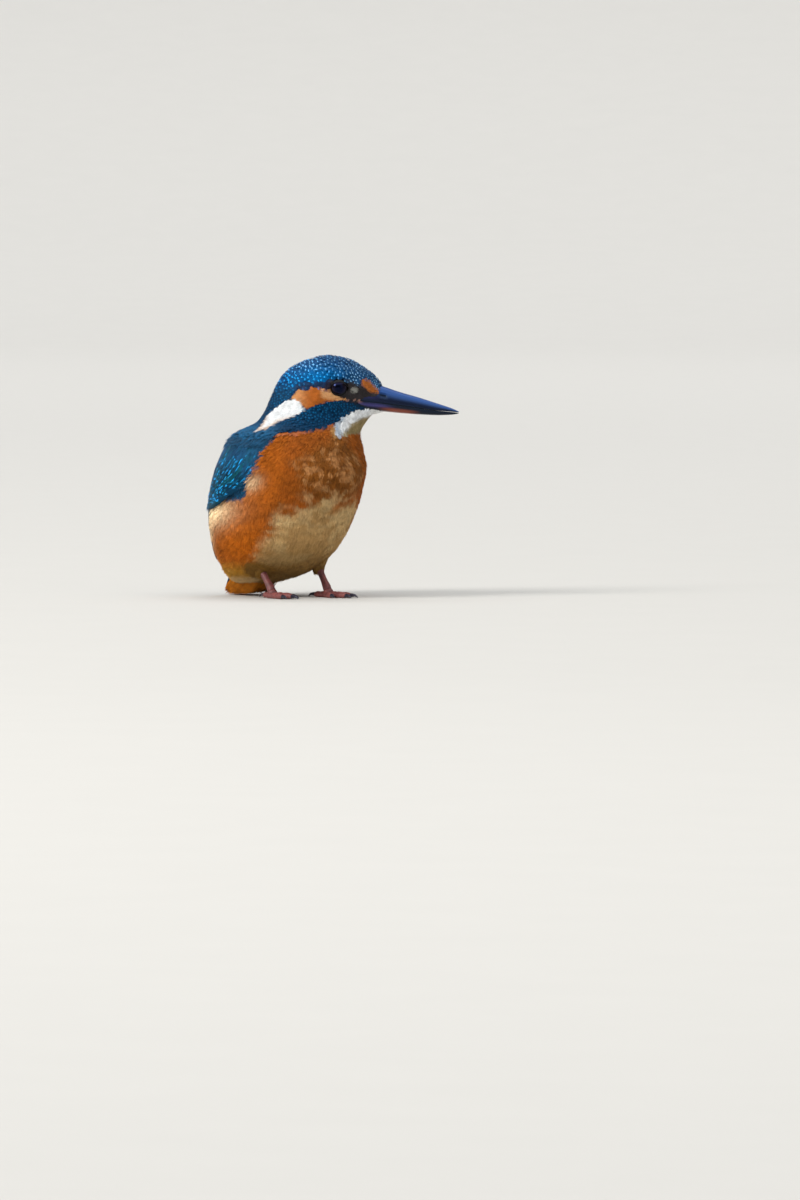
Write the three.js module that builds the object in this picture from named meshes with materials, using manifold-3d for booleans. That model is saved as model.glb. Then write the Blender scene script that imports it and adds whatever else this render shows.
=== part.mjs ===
// A common kingfisher, Alcedo atthis, life size: it stands upright with fluffed plumage and its head turned left.
// Millimetres, +Z up. The bill points within HEAD_HEADING degrees of +X, and the breast faces between +X and -Y.
// The origin is on the floor, under the centre of the model's box.
import * as THREE from "three";
import { mergeVertices } from "three/addons/utils/BufferGeometryUtils.js";
import Module from "manifold-3d";

const wasm = await Module();
wasm.setup();

// ---------------------------------------------------------------- driving dimensions

const GAP = 0.3; // clearance between neighbouring pieces
const BODY_HEADING = 52; // degrees from +X towards -Y, of the breast
const HEAD_HEADING = 8; // the same, of the bill

// Level slices through the plumage, from the undertail to the crown. x and y are the slice's centre, heading turns it,
// front, back and half are its half-lengths, and point is the exponent of its front half: 2 is round, less is pointed.
const SLICES = [
  { z: 4.6, x: -15.4, y: 19.7, heading: 52, front: 4, back: 3, half: 5.5, point: 2 },
  { z: 6.5, x: -14, y: 17.9, heading: 52, front: 12, back: 6, half: 11, point: 2 },
  { z: 9, x: -12.5, y: 16, heading: 52, front: 20, back: 8.5, half: 15.5, point: 2 },
  { z: 12, x: -11, y: 14.1, heading: 52, front: 26.5, back: 11, half: 19.3, point: 2 },
  { z: 15.5, x: -9.6, y: 12.3, heading: 52, front: 30, back: 14.5, half: 22, point: 2 },
  { z: 20, x: -8, y: 10.2, heading: 52, front: 32.5, back: 18, half: 25, point: 2 },
  { z: 28, x: -6.2, y: 7.9, heading: 52, front: 36, back: 22, half: 28, point: 2 },
  { z: 34, x: -4.9, y: 6.3, heading: 52, front: 37.3, back: 24.6, half: 29.4, point: 2 },
  { z: 41, x: -3.1, y: 3.9, heading: 52, front: 38.8, back: 26.4, half: 29.4, point: 2 },
  { z: 48, x: -1.5, y: 2, heading: 52, front: 39.5, back: 28, half: 28.8, point: 2 },
  { z: 54, x: 0, y: 0, heading: 50, front: 38.5, back: 28.6, half: 28.4, point: 2 },
  { z: 60, x: 1.2, y: -1.6, heading: 45, front: 34, back: 28.2, half: 27.2, point: 2 },
  { z: 66, x: 2.5, y: -3, heading: 33, front: 30, back: 26.8, half: 24.3, point: 2 },
  { z: 70.3, x: 4, y: -4, heading: 22, front: 27.5, back: 22.8, half: 21.5, point: 1.95 },
  { z: 74.5, x: 6.5, y: -5, heading: 14, front: 27.5, back: 18.6, half: 18, point: 1.8 },
  { z: 78.6, x: 9.5, y: -5.7, heading: 10, front: 28, back: 19, half: 15.8, point: 1.6 },
  { z: 82.6, x: 12.5, y: -6.2, heading: 8, front: 26.6, back: 20.4, half: 14.6, point: 1.5 },
  { z: 86.6, x: 14.5, y: -6.4, heading: 8, front: 26.4, back: 20.7, half: 13.6, point: 1.5 },
  { z: 90.6, x: 16, y: -6.6, heading: 8, front: 23.2, back: 20.2, half: 12.8, point: 1.6 },
  { z: 94.6, x: 17, y: -6.8, heading: 8, front: 18.4, back: 18.2, half: 11.5, point: 1.8 },
  { z: 97.6, x: 17, y: -6.8, heading: 8, front: 14, back: 14.1, half: 9.5, point: 2 },
  { z: 99.9, x: 17, y: -6.8, heading: 8, front: 9.8, back: 8.8, half: 7, point: 2 },
  { z: 101.2, x: 17, y: -6.8, heading: 8, front: 4.8, back: 4.6, half: 3.8, point: 2 },
];
const MESH = { sides: 34, step: 3.6, ends: [0.8, 1.9], crown: 0.5, vent: 0.4, cap: 0.55 };

// The head comes off the neck, and the neck off the torso, on planes that dip towards the bill by degrees.
const HEAD_CUT = { z: 74.5, dip: 5 };
const NECK_CUT = { z: 67, dip: 9 };

const HEAD_AXIS_Z = 86; // height at which places on the head are measured from the slice's centre
const EYE = { ahead: 8.6, z: 88.2, radius: 3.9, sunk: 2.1 };
const LID = { radius: 3.55, thick: 0.75, inside: 0.35, turn: 10 };
const GAPE = { from: 8, to: 26, z: 83.2, drop: 1.2, half: 0.35, depth: 0.7, steps: 5 };

// The bill's stations: the distance ahead of the head's centre, the heights of the culmen, of the line of the mouth
// and of the keel, and the half-width.
const BILL = [
  { ahead: 17, culmen: 90.6, mouth: 82.8, keel: 78.7, half: 5.6 },
  { ahead: 24.5, culmen: 89.1, mouth: 81.9, keel: 78.3, half: 4.9 },
  { ahead: 32.5, culmen: 86.5, mouth: 80.9, keel: 77.6, half: 4 },
  { ahead: 41, culmen: 84.1, mouth: 79.8, keel: 77, half: 3.1 },
  { ahead: 49.5, culmen: 81.5, mouth: 78.8, keel: 76.9, half: 2.1 },
  { ahead: 55, culmen: 79.8, mouth: 78.4, keel: 77.2, half: 1.2 },
  { ahead: 57.9, culmen: 78.75, mouth: 78.2, keel: 77.75, half: 0.45 },
];
const RIDGE = [[1, 0], [0.94, 0.34], [0.62, 0.74], [0.22, 0.97]]; // half of a mandible's section, across and up
const NOSTRIL = { ahead: 26.5, side: 4.5, z: 85.1, length: 3.6, height: 0.8, depth: 1.1, slope: -12 };

// The folded wing lies on the body between a lower and an inner edge: pairs of height and bearing from shoulder to
// tip. A bearing is in degrees from the breast, round the body.
const WING_LOWER = [
  [66, 62], [58, 67], [50, 74], [45, 82], [41, 94], [38, 111], [34, 124], [28, 130], [21, 135], [15, 142],
];
const WING_INNER = [
  [66, 128], [60, 148], [54, 158], [48, 163], [42, 166], [36, 168], [30, 169], [25, 168], [20, 163], [15, 152],
];
const WING = {
  clear: 0.62, // under the shell that the feathers grow from
  thick: 0.7, // of that shell
  core: 0.54, // share of the wing's length that it covers
  inset: 0.04, // share of the wing's width that it keeps clear of each edge
  tipLift: 2, // how far the wing tip stands off the rump
  liftFrom: 0.68, // share of the wing's length where it starts to stand off
  hidden: 12, // degrees that the left shoulder's edge is hidden further back under the breast
  seed: 7,
};

// Tiers of feathers: the shares of the wing's length where their roots and tips lie, the share of its width, the lift
// of root and tip off the body, and the half-width. Pairs of tip, across and half run from the lower to the inner edge.
const WING_TIERS = [
  { root: 0.5, tip: [0.97, 0.82], across: [0.05, 0.5], count: 5, lift: [1.4, 1.5], half: [2.2, 2.7] }, // primaries
  { root: 0.48, tip: [0.82, 0.75], across: [0.42, 0.95], count: 5, lift: [1.4, 1.8], half: [2.9, 3.1] }, // secondaries
  { root: 0.37, tip: [0.58, 0.6], across: [0.07, 0.94], count: 7, lift: [1.45, 2.1], half: [2.9, 3.3] }, // greater
  { root: 0.25, tip: [0.44, 0.47], across: [0.08, 0.93], count: 6, lift: [1.5, 2.3], half: [3.4, 3.8] }, // median
  { root: 0.12, tip: [0.32, 0.35], across: [0.1, 0.92], count: 5, lift: [1.55, 2.3], half: [3.8, 4.1] }, // lesser
  { root: 0, tip: [0.2, 0.22], across: [0.14, 0.88], count: 4, lift: [1.55, 2], half: [4, 4.2] }, // shoulder
];

// One feather: the share of its length, its width as a share of the widest, and its thickness, at each station.
const VANE = {
  stations: [[0, 0.7, 0.55], [0.45, 1, 0.55], [0.85, 0.72, 0.5], [1, 0.2, 0.4]],
  crown: 0.1, // height of the shaft over the edges, as a share of the half-width
  roll: 9,
  vary: 0.03,
};

// The tail's root and tip are each a distance ahead of the body's middle, and a height.
const TAIL = { root: [-19.5, 31], tip: [-36, 0], rootHalf: 3.5, tipHalf: 7.6, thick: 0.6, roll: 6 };
const RECTRICES = { count: 10, from: 0.3, to: 1.012, shorter: 0.05, lift: 0.5, half: 1.7 };
const TAIL_COVERTS = { count: 5, from: 0.25, to: 0.72, shorter: 0.1, lift: 0.95, half: 2.1 };
const TAIL_CORE = { from: 0.2, to: 0.7, width: 0.85 };

// Places on each leg are a distance ahead of the body's middle, a distance out to the side, and a height.
const LEGS = {
  right: { side: -1, hip: [-0.5, 11.2, 22], heel: [-2.6, 12.2, 11.8], palm: [4.6, 12, 3] },
  left: { side: 1, hip: [5.5, 11.2, 24], heel: [5, 12.2, 12.6], palm: [11.8, 12, 3] },
};
const THIGH = { shares: [0, 0.55, 1], radii: [6.5, 4.7, 2.3] };
const TARSUS = { inside: 2, shares: [0, 0.5, 0.94], radii: [1.55, 1.25, 1.7] };
const PALM = { radius: 2.2, ahead: 0.4, z: 1.9 };
const TOES = [
  { name: "inner", turn: 20, offset: 1.3, length: 8.2, radius: 1.15 },
  { name: "middle", turn: 2, offset: 0.15, length: 13, radius: 1.3 },
  { name: "outer", turn: -9, offset: -1.5, length: 11.6, radius: 1.2 },
  { name: "hind", turn: 172, offset: 0.3, length: 7, radius: 1.2 },
];
const TOE_PADS = [[0, 1.1], [0.26, 0.9], [0.42, 1.08], [0.57, 0.88], [0.74, 1.02], [0.9, 0.84], [1, 0.6]];
const TOE_AXIS = 0.86; // height of a toe's middle, as a share of its radius, so that its pads are flat underneath
const CLAW = { start: 0.45, length: 3.6, radius: 0.72 };
const CLAW_ARC = [[0, 1, 0.95], [0.3, 0.92, 1.2], [0.6, 0.7, 1.14], [0.85, 0.42, 0.7], [1, 0.2, 0.28]];

// ---------------------------------------------------------------- solids

const radians = THREE.MathUtils.degToRad;
const mix = THREE.MathUtils.lerp;

function toSolid(geometry) {
  const bare = geometry.index ? geometry.toNonIndexed() : geometry.clone();
  bare.deleteAttribute("normal");
  bare.deleteAttribute("uv");
  const merged = mergeVertices(bare, 1e-4);
  const vertProperties = new Float32Array(merged.attributes.position.array);
  const triVerts = new Uint32Array(merged.index.array);
  return new wasm.Manifold(new wasm.Mesh({ numProp: 3, vertProperties, triVerts }));
}

function toGeometry(solid) {
  const mesh = solid.getMesh();
  const geometry = new THREE.BufferGeometry();
  geometry.setAttribute("position", new THREE.BufferAttribute(new Float32Array(mesh.vertProperties), 3));
  geometry.setIndex(new THREE.BufferAttribute(new Uint32Array(mesh.triVerts), 1));
  return geometry;
}

const joined = (solids) => solids.reduce((sum, next) => sum.add(next));
const largest = (solid) => solid.decompose().reduce((best, next) => (next.volume() > best.volume() ? next : best));

// A solid from points and triangles that may all face in.
function closedSolid(points, triangles) {
  const geometry = new THREE.BufferGeometry().setFromPoints(points).setIndex(triangles.flat());
  const solid = toSolid(geometry);
  return solid.volume() > 0 ? solid : toSolid(geometry.setIndex(triangles.map(([a, b, c]) => [a, c, b]).flat()));
}

// A closed tube through rings of points that all have the same count, with both ends capped on their middle.
function tube(rings) {
  const sides = rings[0].length;
  const last = rings.length - 1;
  const middle = (points) => points.reduce((sum, p) => sum.add(p), new THREE.Vector3()).divideScalar(sides);
  const points = [...rings.flat(), middle(rings[0]), middle(rings[last])];
  const triangles = [];
  for (let j = 0; j < sides; j++) {
    const next = (j + 1) % sides;
    for (let i = 0; i < last; i++) {
      const [a, b] = [i * sides + j, i * sides + next];
      triangles.push([a, b, b + sides], [a, b + sides, a + sides]);
    }
    triangles.push([points.length - 2, next, j]);
    triangles.push([points.length - 1, last * sides + j, last * sides + next]);
  }
  return closedSolid(points, triangles);
}

// A round limb through points, with a radius at each.
function limb(points, radii, sides) {
  const rings = points.map((p, i) => {
    const before = points[Math.max(i - 1, 0)];
    const after = points[Math.min(i + 1, points.length - 1)];
    const shaft = after.clone().sub(before).normalize();
    const helper = Math.abs(shaft.z) > 0.9 ? new THREE.Vector3(1, 0, 0) : new THREE.Vector3(0, 0, 1);
    const across = new THREE.Vector3().crossVectors(shaft, helper).normalize();
    const up = new THREE.Vector3().crossVectors(across, shaft);
    return ellipse(p, across, up, radii[i], radii[i], sides);
  });
  return tube(rings);
}

function ellipse(centre, across, up, halfAcross, halfUp, sides) {
  return Array.from({ length: sides }, (_, k) => {
    const turn = (2 * Math.PI * k) / sides;
    const out = across.clone().multiplyScalar(halfAcross * Math.cos(turn));
    return out.addScaledVector(up, halfUp * Math.sin(turn)).add(centre);
  });
}

// A curved plate between two layers of a grid, split into triangles alike on both faces.
function plate(columns, rows, outer, inner) {
  const points = [];
  for (const layer of [outer, inner]) {
    for (let i = 0; i <= columns; i++) {
      for (let j = 0; j <= rows; j++) points.push(layer(i / columns, j / rows));
    }
  }
  const at = (layer, i, j) => (layer * (columns + 1) + i) * (rows + 1) + j;
  const triangles = [];
  const wall = (p, q, r, s) => triangles.push([p, q, r], [p, r, s]);
  for (let i = 0; i < columns; i++) {
    for (let j = 0; j < rows; j++) {
      const [a, b, c, d] = [at(0, i, j), at(0, i + 1, j), at(0, i + 1, j + 1), at(0, i, j + 1)];
      const [e, f, g, h] = [at(1, i, j), at(1, i + 1, j), at(1, i + 1, j + 1), at(1, i, j + 1)];
      triangles.push([a, b, c], [a, c, d], [e, g, f], [e, h, g]);
    }
    wall(at(0, i, 0), at(1, i, 0), at(1, i + 1, 0), at(0, i + 1, 0));
    wall(at(0, i + 1, rows), at(1, i + 1, rows), at(1, i, rows), at(0, i, rows));
  }
  for (let j = 0; j < rows; j++) {
    wall(at(0, 0, j + 1), at(1, 0, j + 1), at(1, 0, j), at(0, 0, j));
    wall(at(0, columns, j), at(1, columns, j), at(1, columns, j + 1), at(0, columns, j + 1));
  }
  return closedSolid(points, triangles);
}

function aboveFloor(solid) {
  const size = 300;
  return solid.intersect(toSolid(new THREE.BoxGeometry(size, size, size).translate(0, 0, size / 2)));
}

// A smooth curve through rows of [x, y] that never overshoots them.
function curve(rows) {
  const slope = (i) => (rows[i + 1][1] - rows[i][1]) / (rows[i + 1][0] - rows[i][0]);
  const last = rows.length - 1;
  const slopes = rows.map((_, i) => {
    if (i === 0 || i === last) return slope(i === 0 ? 0 : last - 1);
    const [before, after] = [slope(i - 1), slope(i)];
    return before * after <= 0 ? 0 : (2 * before * after) / (before + after);
  });
  return (x) => {
    const i = Math.max(rows.findLastIndex((row, k) => k < last && row[0] <= x), 0);
    const width = rows[i + 1][0] - rows[i][0];
    const t = THREE.MathUtils.clamp((x - rows[i][0]) / width, 0, 1);
    const level = mix(rows[i][1], rows[i + 1][1], t * t * (3 - 2 * t));
    return level + width * t * (1 - t) * (slopes[i] * (1 - t) - slopes[i + 1] * t);
  };
}

// Numbers between 0 and 1 that are the same on every run.
function seeded(seed) {
  let state = seed;
  return () => {
    state = (state * 1664525 + 1013904223) % 4294967296;
    return state / 4294967296;
  };
}

// ---------------------------------------------------------------- the plumage's surface

const SIZES = ["x", "y", "heading", "front", "back", "half", "point"];
const slice = Object.fromEntries(SIZES.map((name) => [name, curve(SLICES.map((row) => [row.z, row[name]]))]));
const LOWEST = SLICES[0].z;
const HIGHEST = SLICES[SLICES.length - 1].z;

const ahead = (heading) => new THREE.Vector3(Math.cos(radians(heading)), -Math.sin(radians(heading)), 0);
const leftOf = (heading) => new THREE.Vector3(Math.sin(radians(heading)), Math.cos(radians(heading)), 0);
const centre = (z) => new THREE.Vector3(slice.x(z), slice.y(z), z);

// A place given ahead and to the left of the body's middle, and above the floor.
function onBody(forward, left, z) {
  return ahead(BODY_HEADING).multiplyScalar(forward).addScaledVector(leftOf(BODY_HEADING), left).setZ(z);
}

// A place given ahead and to the left of the head's middle.
function onHead(forward, left, z) {
  const place = centre(HEAD_AXIS_Z).addScaledVector(ahead(HEAD_HEADING), forward);
  return place.addScaledVector(leftOf(HEAD_HEADING), left).setZ(z);
}

// A place on one side of the face, sunk below the surface.
function onFace(side, forward, z, sunk = 0) {
  const local = onHead(forward, 0, z).sub(centre(z)).dot(ahead(HEAD_HEADING));
  const share = Math.min(local / slice.front(z), 0.99);
  const out = slice.half(z) * (1 - share ** slice.point(z)) ** (1 / slice.point(z));
  const place = centre(z).addScaledVector(ahead(HEAD_HEADING), local);
  return place.addScaledVector(leftOf(HEAD_HEADING), side * (out - sunk));
}

// The surface at a height and a turn, in radians from the slice's own heading.
function slicePoint(z, turn, grow = 0) {
  const [c, s] = [Math.cos(turn), Math.sin(turn)];
  const power = c > 0 ? 2 / slice.point(z) : 1;
  const forward = Math.sign(c) * Math.abs(c) ** power * ((c > 0 ? slice.front(z) : slice.back(z)) + grow);
  const left = Math.sign(s) * Math.abs(s) ** power * (slice.half(z) + grow);
  const heading = slice.heading(z);
  return centre(z).addScaledVector(ahead(heading), forward).addScaledVector(leftOf(heading), left);
}

// The surface and its normal at a height and a bearing, raised by lift.
function plumage(z, bearing, lift) {
  const [high, wide] = [0.4, 0.02];
  const turn = (height) => radians(bearing + slice.heading(height) - BODY_HEADING);
  const round = slicePoint(z, turn(z) + wide).sub(slicePoint(z, turn(z) - wide));
  const up = slicePoint(z + high, turn(z + high)).sub(slicePoint(z - high, turn(z - high)));
  const normal = round.cross(up).normalize();
  return { point: slicePoint(z, turn(z)).addScaledVector(normal, lift), normal };
}

const legPlace = (leg, [forward, out, z]) => onBody(forward, leg.side * out, z);

function thigh(leg, grow) {
  const [top, foot] = [legPlace(leg, leg.hip), legPlace(leg, leg.heel)];
  const points = THIGH.shares.map((share) => top.clone().lerp(foot, share));
  points.at(-1).addScaledVector(foot.clone().sub(top).normalize(), grow);
  return limb(points, THIGH.radii.map((radius) => radius + grow), 12);
}

// The whole feathered body, from undertail to crown, grown all round by a clearance.
function feathered(grow) {
  const turns = Array.from({ length: MESH.sides }, (_, k) => (2 * Math.PI * k) / MESH.sides);
  const steps = Math.round((HIGHEST - LOWEST) / MESH.step);
  const plain = Array.from({ length: steps - 2 }, (_, k) => mix(LOWEST, HIGHEST, (k + 1.5) / steps));
  const low = MESH.ends.map((up) => LOWEST + up);
  const high = MESH.ends.map((down) => HIGHEST - down).reverse();
  const heights = [LOWEST, ...low, ...plain, ...high, HIGHEST];
  const rings = heights.map((z) => turns.map((turn) => slicePoint(z, turn, grow)));
  const cap = (z, end) => turns.map((turn) => slicePoint(z, turn).lerp(centre(z), MESH.cap).setZ(end));
  const lowest = cap(LOWEST, LOWEST - MESH.vent - grow);
  const highest = cap(HIGHEST, HIGHEST + MESH.crown + grow);
  return joined([tube([lowest, ...rings, highest]), ...Object.values(LEGS).map((leg) => thigh(leg, grow))]);
}

// All that lies above a plane that dips towards the bill, with the plane raised by a clearance.
function above(cut, raise) {
  const size = 300;
  const block = new THREE.BoxGeometry(size, size, size).translate(0, 0, size / 2);
  block.rotateY(radians(cut.dip)).rotateZ(-radians(HEAD_HEADING));
  return toSolid(block.translate(slice.x(cut.z), slice.y(cut.z), cut.z + raise));
}

// ---------------------------------------------------------------- head

function eyeSolid(side, grow = 0) {
  const middle = onFace(side, EYE.ahead, EYE.z, EYE.sunk);
  return toSolid(new THREE.SphereGeometry(EYE.radius + grow, 16, 9).rotateX(Math.PI / 2).translate(...middle));
}

// The rim of the lids round the eye.
function lidRing(side) {
  const rim = new THREE.TorusGeometry(LID.radius, LID.thick, 5, 16);
  rim.rotateX(Math.PI / 2).rotateZ(-radians(HEAD_HEADING + side * LID.turn));
  return toSolid(rim.translate(...onFace(side, EYE.ahead, EYE.z, LID.inside)));
}

// The line of the mouth behind the bill, as a groove along the side of the face.
function gapeGroove(side) {
  const rings = Array.from({ length: GAPE.steps + 1 }, (_, k) => {
    const share = k / GAPE.steps;
    const middle = onFace(side, mix(GAPE.from, GAPE.to, share), GAPE.z - GAPE.drop * share);
    return ellipse(middle, leftOf(HEAD_HEADING), new THREE.Vector3(0, 0, 1), GAPE.depth, GAPE.half, 6);
  });
  return tube(rings);
}

function headSolid(body) {
  const onSide = (side) => [eyeSolid(side, GAP), gapeGroove(side)];
  const lidded = joined([body.intersect(above(HEAD_CUT, GAP / 2)), lidRing(-1), lidRing(1)]);
  return largest(lidded.subtract(joined([...onSide(-1), ...onSide(1)])));
}

// One mandible, from the head to the tip, between the line of the mouth and its ridge.
function mandible(ridge, up, clearOf) {
  const section = [...RIDGE, ...RIDGE.map(([across, high]) => [-across, high]).reverse()];
  const rings = BILL.map((station) => {
    const edge = station.mouth + (up * GAP) / 2;
    const tall = up * Math.max(up * (station[ridge] - edge), GAP);
    return section.map(([across, high]) => onHead(station.ahead, across * station.half, edge + high * tall));
  });
  return largest(tube(rings).subtract(clearOf));
}

function nostril(side) {
  const slit = new THREE.BoxGeometry(NOSTRIL.length, 2 * NOSTRIL.depth, NOSTRIL.height);
  slit.rotateY(-radians(NOSTRIL.slope)).rotateZ(-radians(HEAD_HEADING));
  return toSolid(slit.translate(...onHead(NOSTRIL.ahead, side * NOSTRIL.side, NOSTRIL.z)));
}

// ---------------------------------------------------------------- wings and tail

const edgeCurve = (rows, column) => curve(rows.map((row, i) => [i / (rows.length - 1), row[column]]));
const [lowerHeight, lowerBearing] = [0, 1].map((column) => edgeCurve(WING_LOWER, column));
const [innerHeight, innerBearing] = [0, 1].map((column) => edgeCurve(WING_INNER, column));

// A place on the folded wing: far runs 0 to 1 from shoulder to tip, and across 0 to 1 from lower to inner edge.
function onWing(side, far, across, lift) {
  const hidden = side > 0 ? WING.hidden * (1 - far) * (1 - across) : 0;
  const z = mix(lowerHeight(far), innerHeight(far), across);
  const bearing = mix(lowerBearing(far) + hidden, innerBearing(far), across);
  const late = Math.max(0, (far - WING.liftFrom) / (1 - WING.liftFrom));
  return plumage(z, side * bearing, lift + WING.tipLift * late * late);
}

// One feather as a tapered blade: place gives a point and a normal for a share of its length, half is its greatest
// half-width, and roll turns it about its shaft, in degrees, so that it tiles over its neighbour.
function vane(place, half, roll) {
  const nudge = 0.02;
  const last = VANE.stations.length - 1;
  const layer = (inside) => (far, across) => {
    const [t, wide, thick] = VANE.stations[Math.round(far * last)];
    const { point, normal } = place(t);
    const shaft = place(t + nudge).point.sub(place(t - nudge).point).normalize();
    const side = normal.clone().cross(shaft).normalize().applyAxisAngle(shaft, radians(roll));
    const up = shaft.cross(side);
    const offset = 2 * across - 1;
    const high = VANE.crown * half * wide * (1 - offset * offset) - inside * thick;
    return point.addScaledVector(side, offset * half * wide).addScaledVector(up, high);
  };
  return plate(last, 2, layer(0), layer(1));
}

// A tier of feathers side by side on one wing, each lying along the wing.
function wingTier(side, tier, random) {
  return Array.from({ length: tier.count }, (_, k) => {
    const share = k / (tier.count - 1);
    const tip = mix(...tier.tip, share) + VANE.vary * (random() - 0.5);
    const place = (t) => onWing(side, mix(tier.root, tip, t), mix(...tier.across, share), mix(...tier.lift, t));
    return vane(place, mix(...tier.half, share), side * VANE.roll);
  });
}

function wingSolid(side, clearOf) {
  const random = seeded(WING.seed);
  const within = (across) => mix(WING.inset, 1 - WING.inset, across);
  const layer = (lift) => (far, across) => onWing(side, WING.core * far, within(across), lift).point;
  const core = plate(7, 7, layer(WING.clear + WING.thick), layer(WING.clear));
  const vanes = WING_TIERS.flatMap((tier) => wingTier(side, tier, random));
  return largest(joined([core, ...vanes]).subtract(clearOf));
}

// A place on the tail: far runs 0 to 1 from the root to the tip, left is across it, and lift is off its back.
function onTail(far, left, lift) {
  const down = new THREE.Vector2(TAIL.tip[0] - TAIL.root[0], TAIL.tip[1] - TAIL.root[1]).normalize();
  const forward = mix(TAIL.root[0], TAIL.tip[0], far) + down.y * lift;
  const z = mix(TAIL.root[1], TAIL.tip[1], far) - down.x * lift;
  return { point: onBody(forward, left, z), normal: onBody(down.y, 0, -down.x) };
}

// The middle feathers of a tier lie over the outer ones, and are the longest.
function tailTier(tier) {
  return Array.from({ length: tier.count }, (_, k) => {
    const left = (2 * k) / (tier.count - 1) - 1;
    const tip = tier.to - tier.shorter * Math.abs(left);
    const place = (t) => {
      const far = mix(tier.from, tip, t);
      const spread = mix(TAIL.rootHalf, TAIL.tipHalf, far) - tier.half * 0.8;
      return onTail(far, left * spread, tier.lift * (1.6 - Math.abs(left)));
    };
    return vane(place, tier.half, -Math.sign(left) * TAIL.roll);
  });
}

function tailSolid(clearOf) {
  const layer = (lift) => (far, across) => {
    const place = mix(TAIL_CORE.from, TAIL_CORE.to, far);
    const half = mix(TAIL.rootHalf, TAIL.tipHalf, place) * TAIL_CORE.width;
    return onTail(place, (2 * across - 1) * half, lift).point;
  };
  const core = plate(2, 2, layer(TAIL.thick), layer(-TAIL.thick / 2));
  return largest(aboveFloor(joined([core, ...tailTier(RECTRICES), ...tailTier(TAIL_COVERTS)]).subtract(clearOf)));
}

// ---------------------------------------------------------------- legs and feet

function tarsus(leg, grow = 0) {
  const [top, palm] = [legPlace(leg, leg.heel), legPlace(leg, leg.palm)];
  const points = TARSUS.shares.map((share) => top.clone().lerp(palm, share));
  points.at(-1).addScaledVector(palm.clone().sub(top).normalize(), grow);
  const inside = top.clone().addScaledVector(top.clone().sub(palm).normalize(), TARSUS.inside);
  const radii = [TARSUS.radii[0], ...TARSUS.radii].map((radius) => radius + grow);
  return limb([inside, ...points], radii, 10);
}

// A place along a toe, from the palm outwards.
function toePlace(leg, toe, far, z) {
  const [forward, out] = leg.palm;
  const turn = radians(-leg.side * toe.turn);
  return onBody(forward + far * Math.cos(turn), leg.side * (out - toe.offset) + far * Math.sin(turn), z);
}

function toeSolid(leg, toe) {
  const points = TOE_PADS.map(([share]) => toePlace(leg, toe, share * toe.length, toe.radius * TOE_AXIS));
  return limb(points, TOE_PADS.map(([, size]) => toe.radius * size), 7);
}

function clawSolid(leg, toe) {
  const root = toe.length + CLAW.start;
  const points = CLAW_ARC.map(([share, , z]) => toePlace(leg, toe, root + share * CLAW.length, z));
  return limb(points, CLAW_ARC.map(([, size]) => CLAW.radius * size), 6);
}

function footSolid(leg) {
  const middle = onBody(leg.palm[0] + PALM.ahead, leg.side * leg.palm[1], PALM.z);
  const palm = toSolid(new THREE.SphereGeometry(PALM.radius, 10, 6).translate(...middle));
  const whole = joined([palm, ...TOES.map((toe) => toeSolid(leg, toe))]);
  return largest(aboveFloor(whole.subtract(tarsus(leg, GAP))));
}

// ---------------------------------------------------------------- materials and assembly

const finish = (color, roughness) => new THREE.MeshStandardMaterial({ color, roughness, metalness: 0 });
const FINISHES = {
  crown: finish("#0b4a78", 0.5),
  collar: finish("#8f5526", 0.75),
  breast: finish("#a85c22", 0.75),
  wing: finish("#0a5578", 0.45),
  tail: finish("#1c4f7c", 0.45),
  horn: finish("#23243a", 0.3),
  eye: finish("#0a0608", 0.08),
  skin: finish("#7c4a46", 0.55),
  claw: finish("#201d24", 0.35),
};

const bird = new THREE.Group();

function add(name, solid, material) {
  const mesh = new THREE.Mesh(toGeometry(solid), material);
  mesh.name = name;
  bird.add(mesh);
}

const body = feathered(0);
const grownBody = feathered(GAP);

add("head", headSolid(body), FINISHES.crown);
add("neck", largest(body.intersect(above(NECK_CUT, GAP / 2)).subtract(above(HEAD_CUT, -GAP / 2))), FINISHES.collar);
add("torso", largest(body.subtract(above(NECK_CUT, -GAP / 2))), FINISHES.breast);
add("bill_upper", mandible("culmen", 1, joined([grownBody, nostril(-1), nostril(1)])), FINISHES.horn);
add("bill_lower", mandible("keel", -1, grownBody), FINISHES.horn);
add("tail", tailSolid(grownBody), FINISHES.tail);

for (const [hand, leg] of Object.entries(LEGS)) {
  add(`eye_${hand}`, eyeSolid(leg.side), FINISHES.eye);
  add(`wing_${hand}`, wingSolid(leg.side, grownBody), FINISHES.wing);
  add(`leg_${hand}`, largest(tarsus(leg).subtract(grownBody)), FINISHES.skin);
  add(`foot_${hand}`, footSolid(leg), FINISHES.skin);
  for (const toe of TOES) add(`claw_${hand}_${toe.name}`, clawSolid(leg, toe), FINISHES.claw);
}

// The group is moved so that its box stands on the origin.
const bounds = new THREE.Box3().setFromObject(bird);
const middle = bounds.getCenter(new THREE.Vector3());
bird.position.set(-middle.x, -middle.y, -bounds.min.z);

export default bird;
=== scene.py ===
"""A common kingfisher, life size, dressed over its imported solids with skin, plumage, horn and scales.

Lengths are millimetres in the bird's own frame, where the bill points HEAD_HEADING degrees and the breast
BODY_HEADING degrees from +X towards -Y. to_scene turns them to metres in the frame of the solids. A place on
the body is a height and a bearing in degrees from the breast, positive to the bird's left.
"""
import math
from functools import partial

import bpy
import numpy as np
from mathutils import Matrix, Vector
from mathutils.bvhtree import BVHTree
from mathutils.kdtree import KDTree


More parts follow.
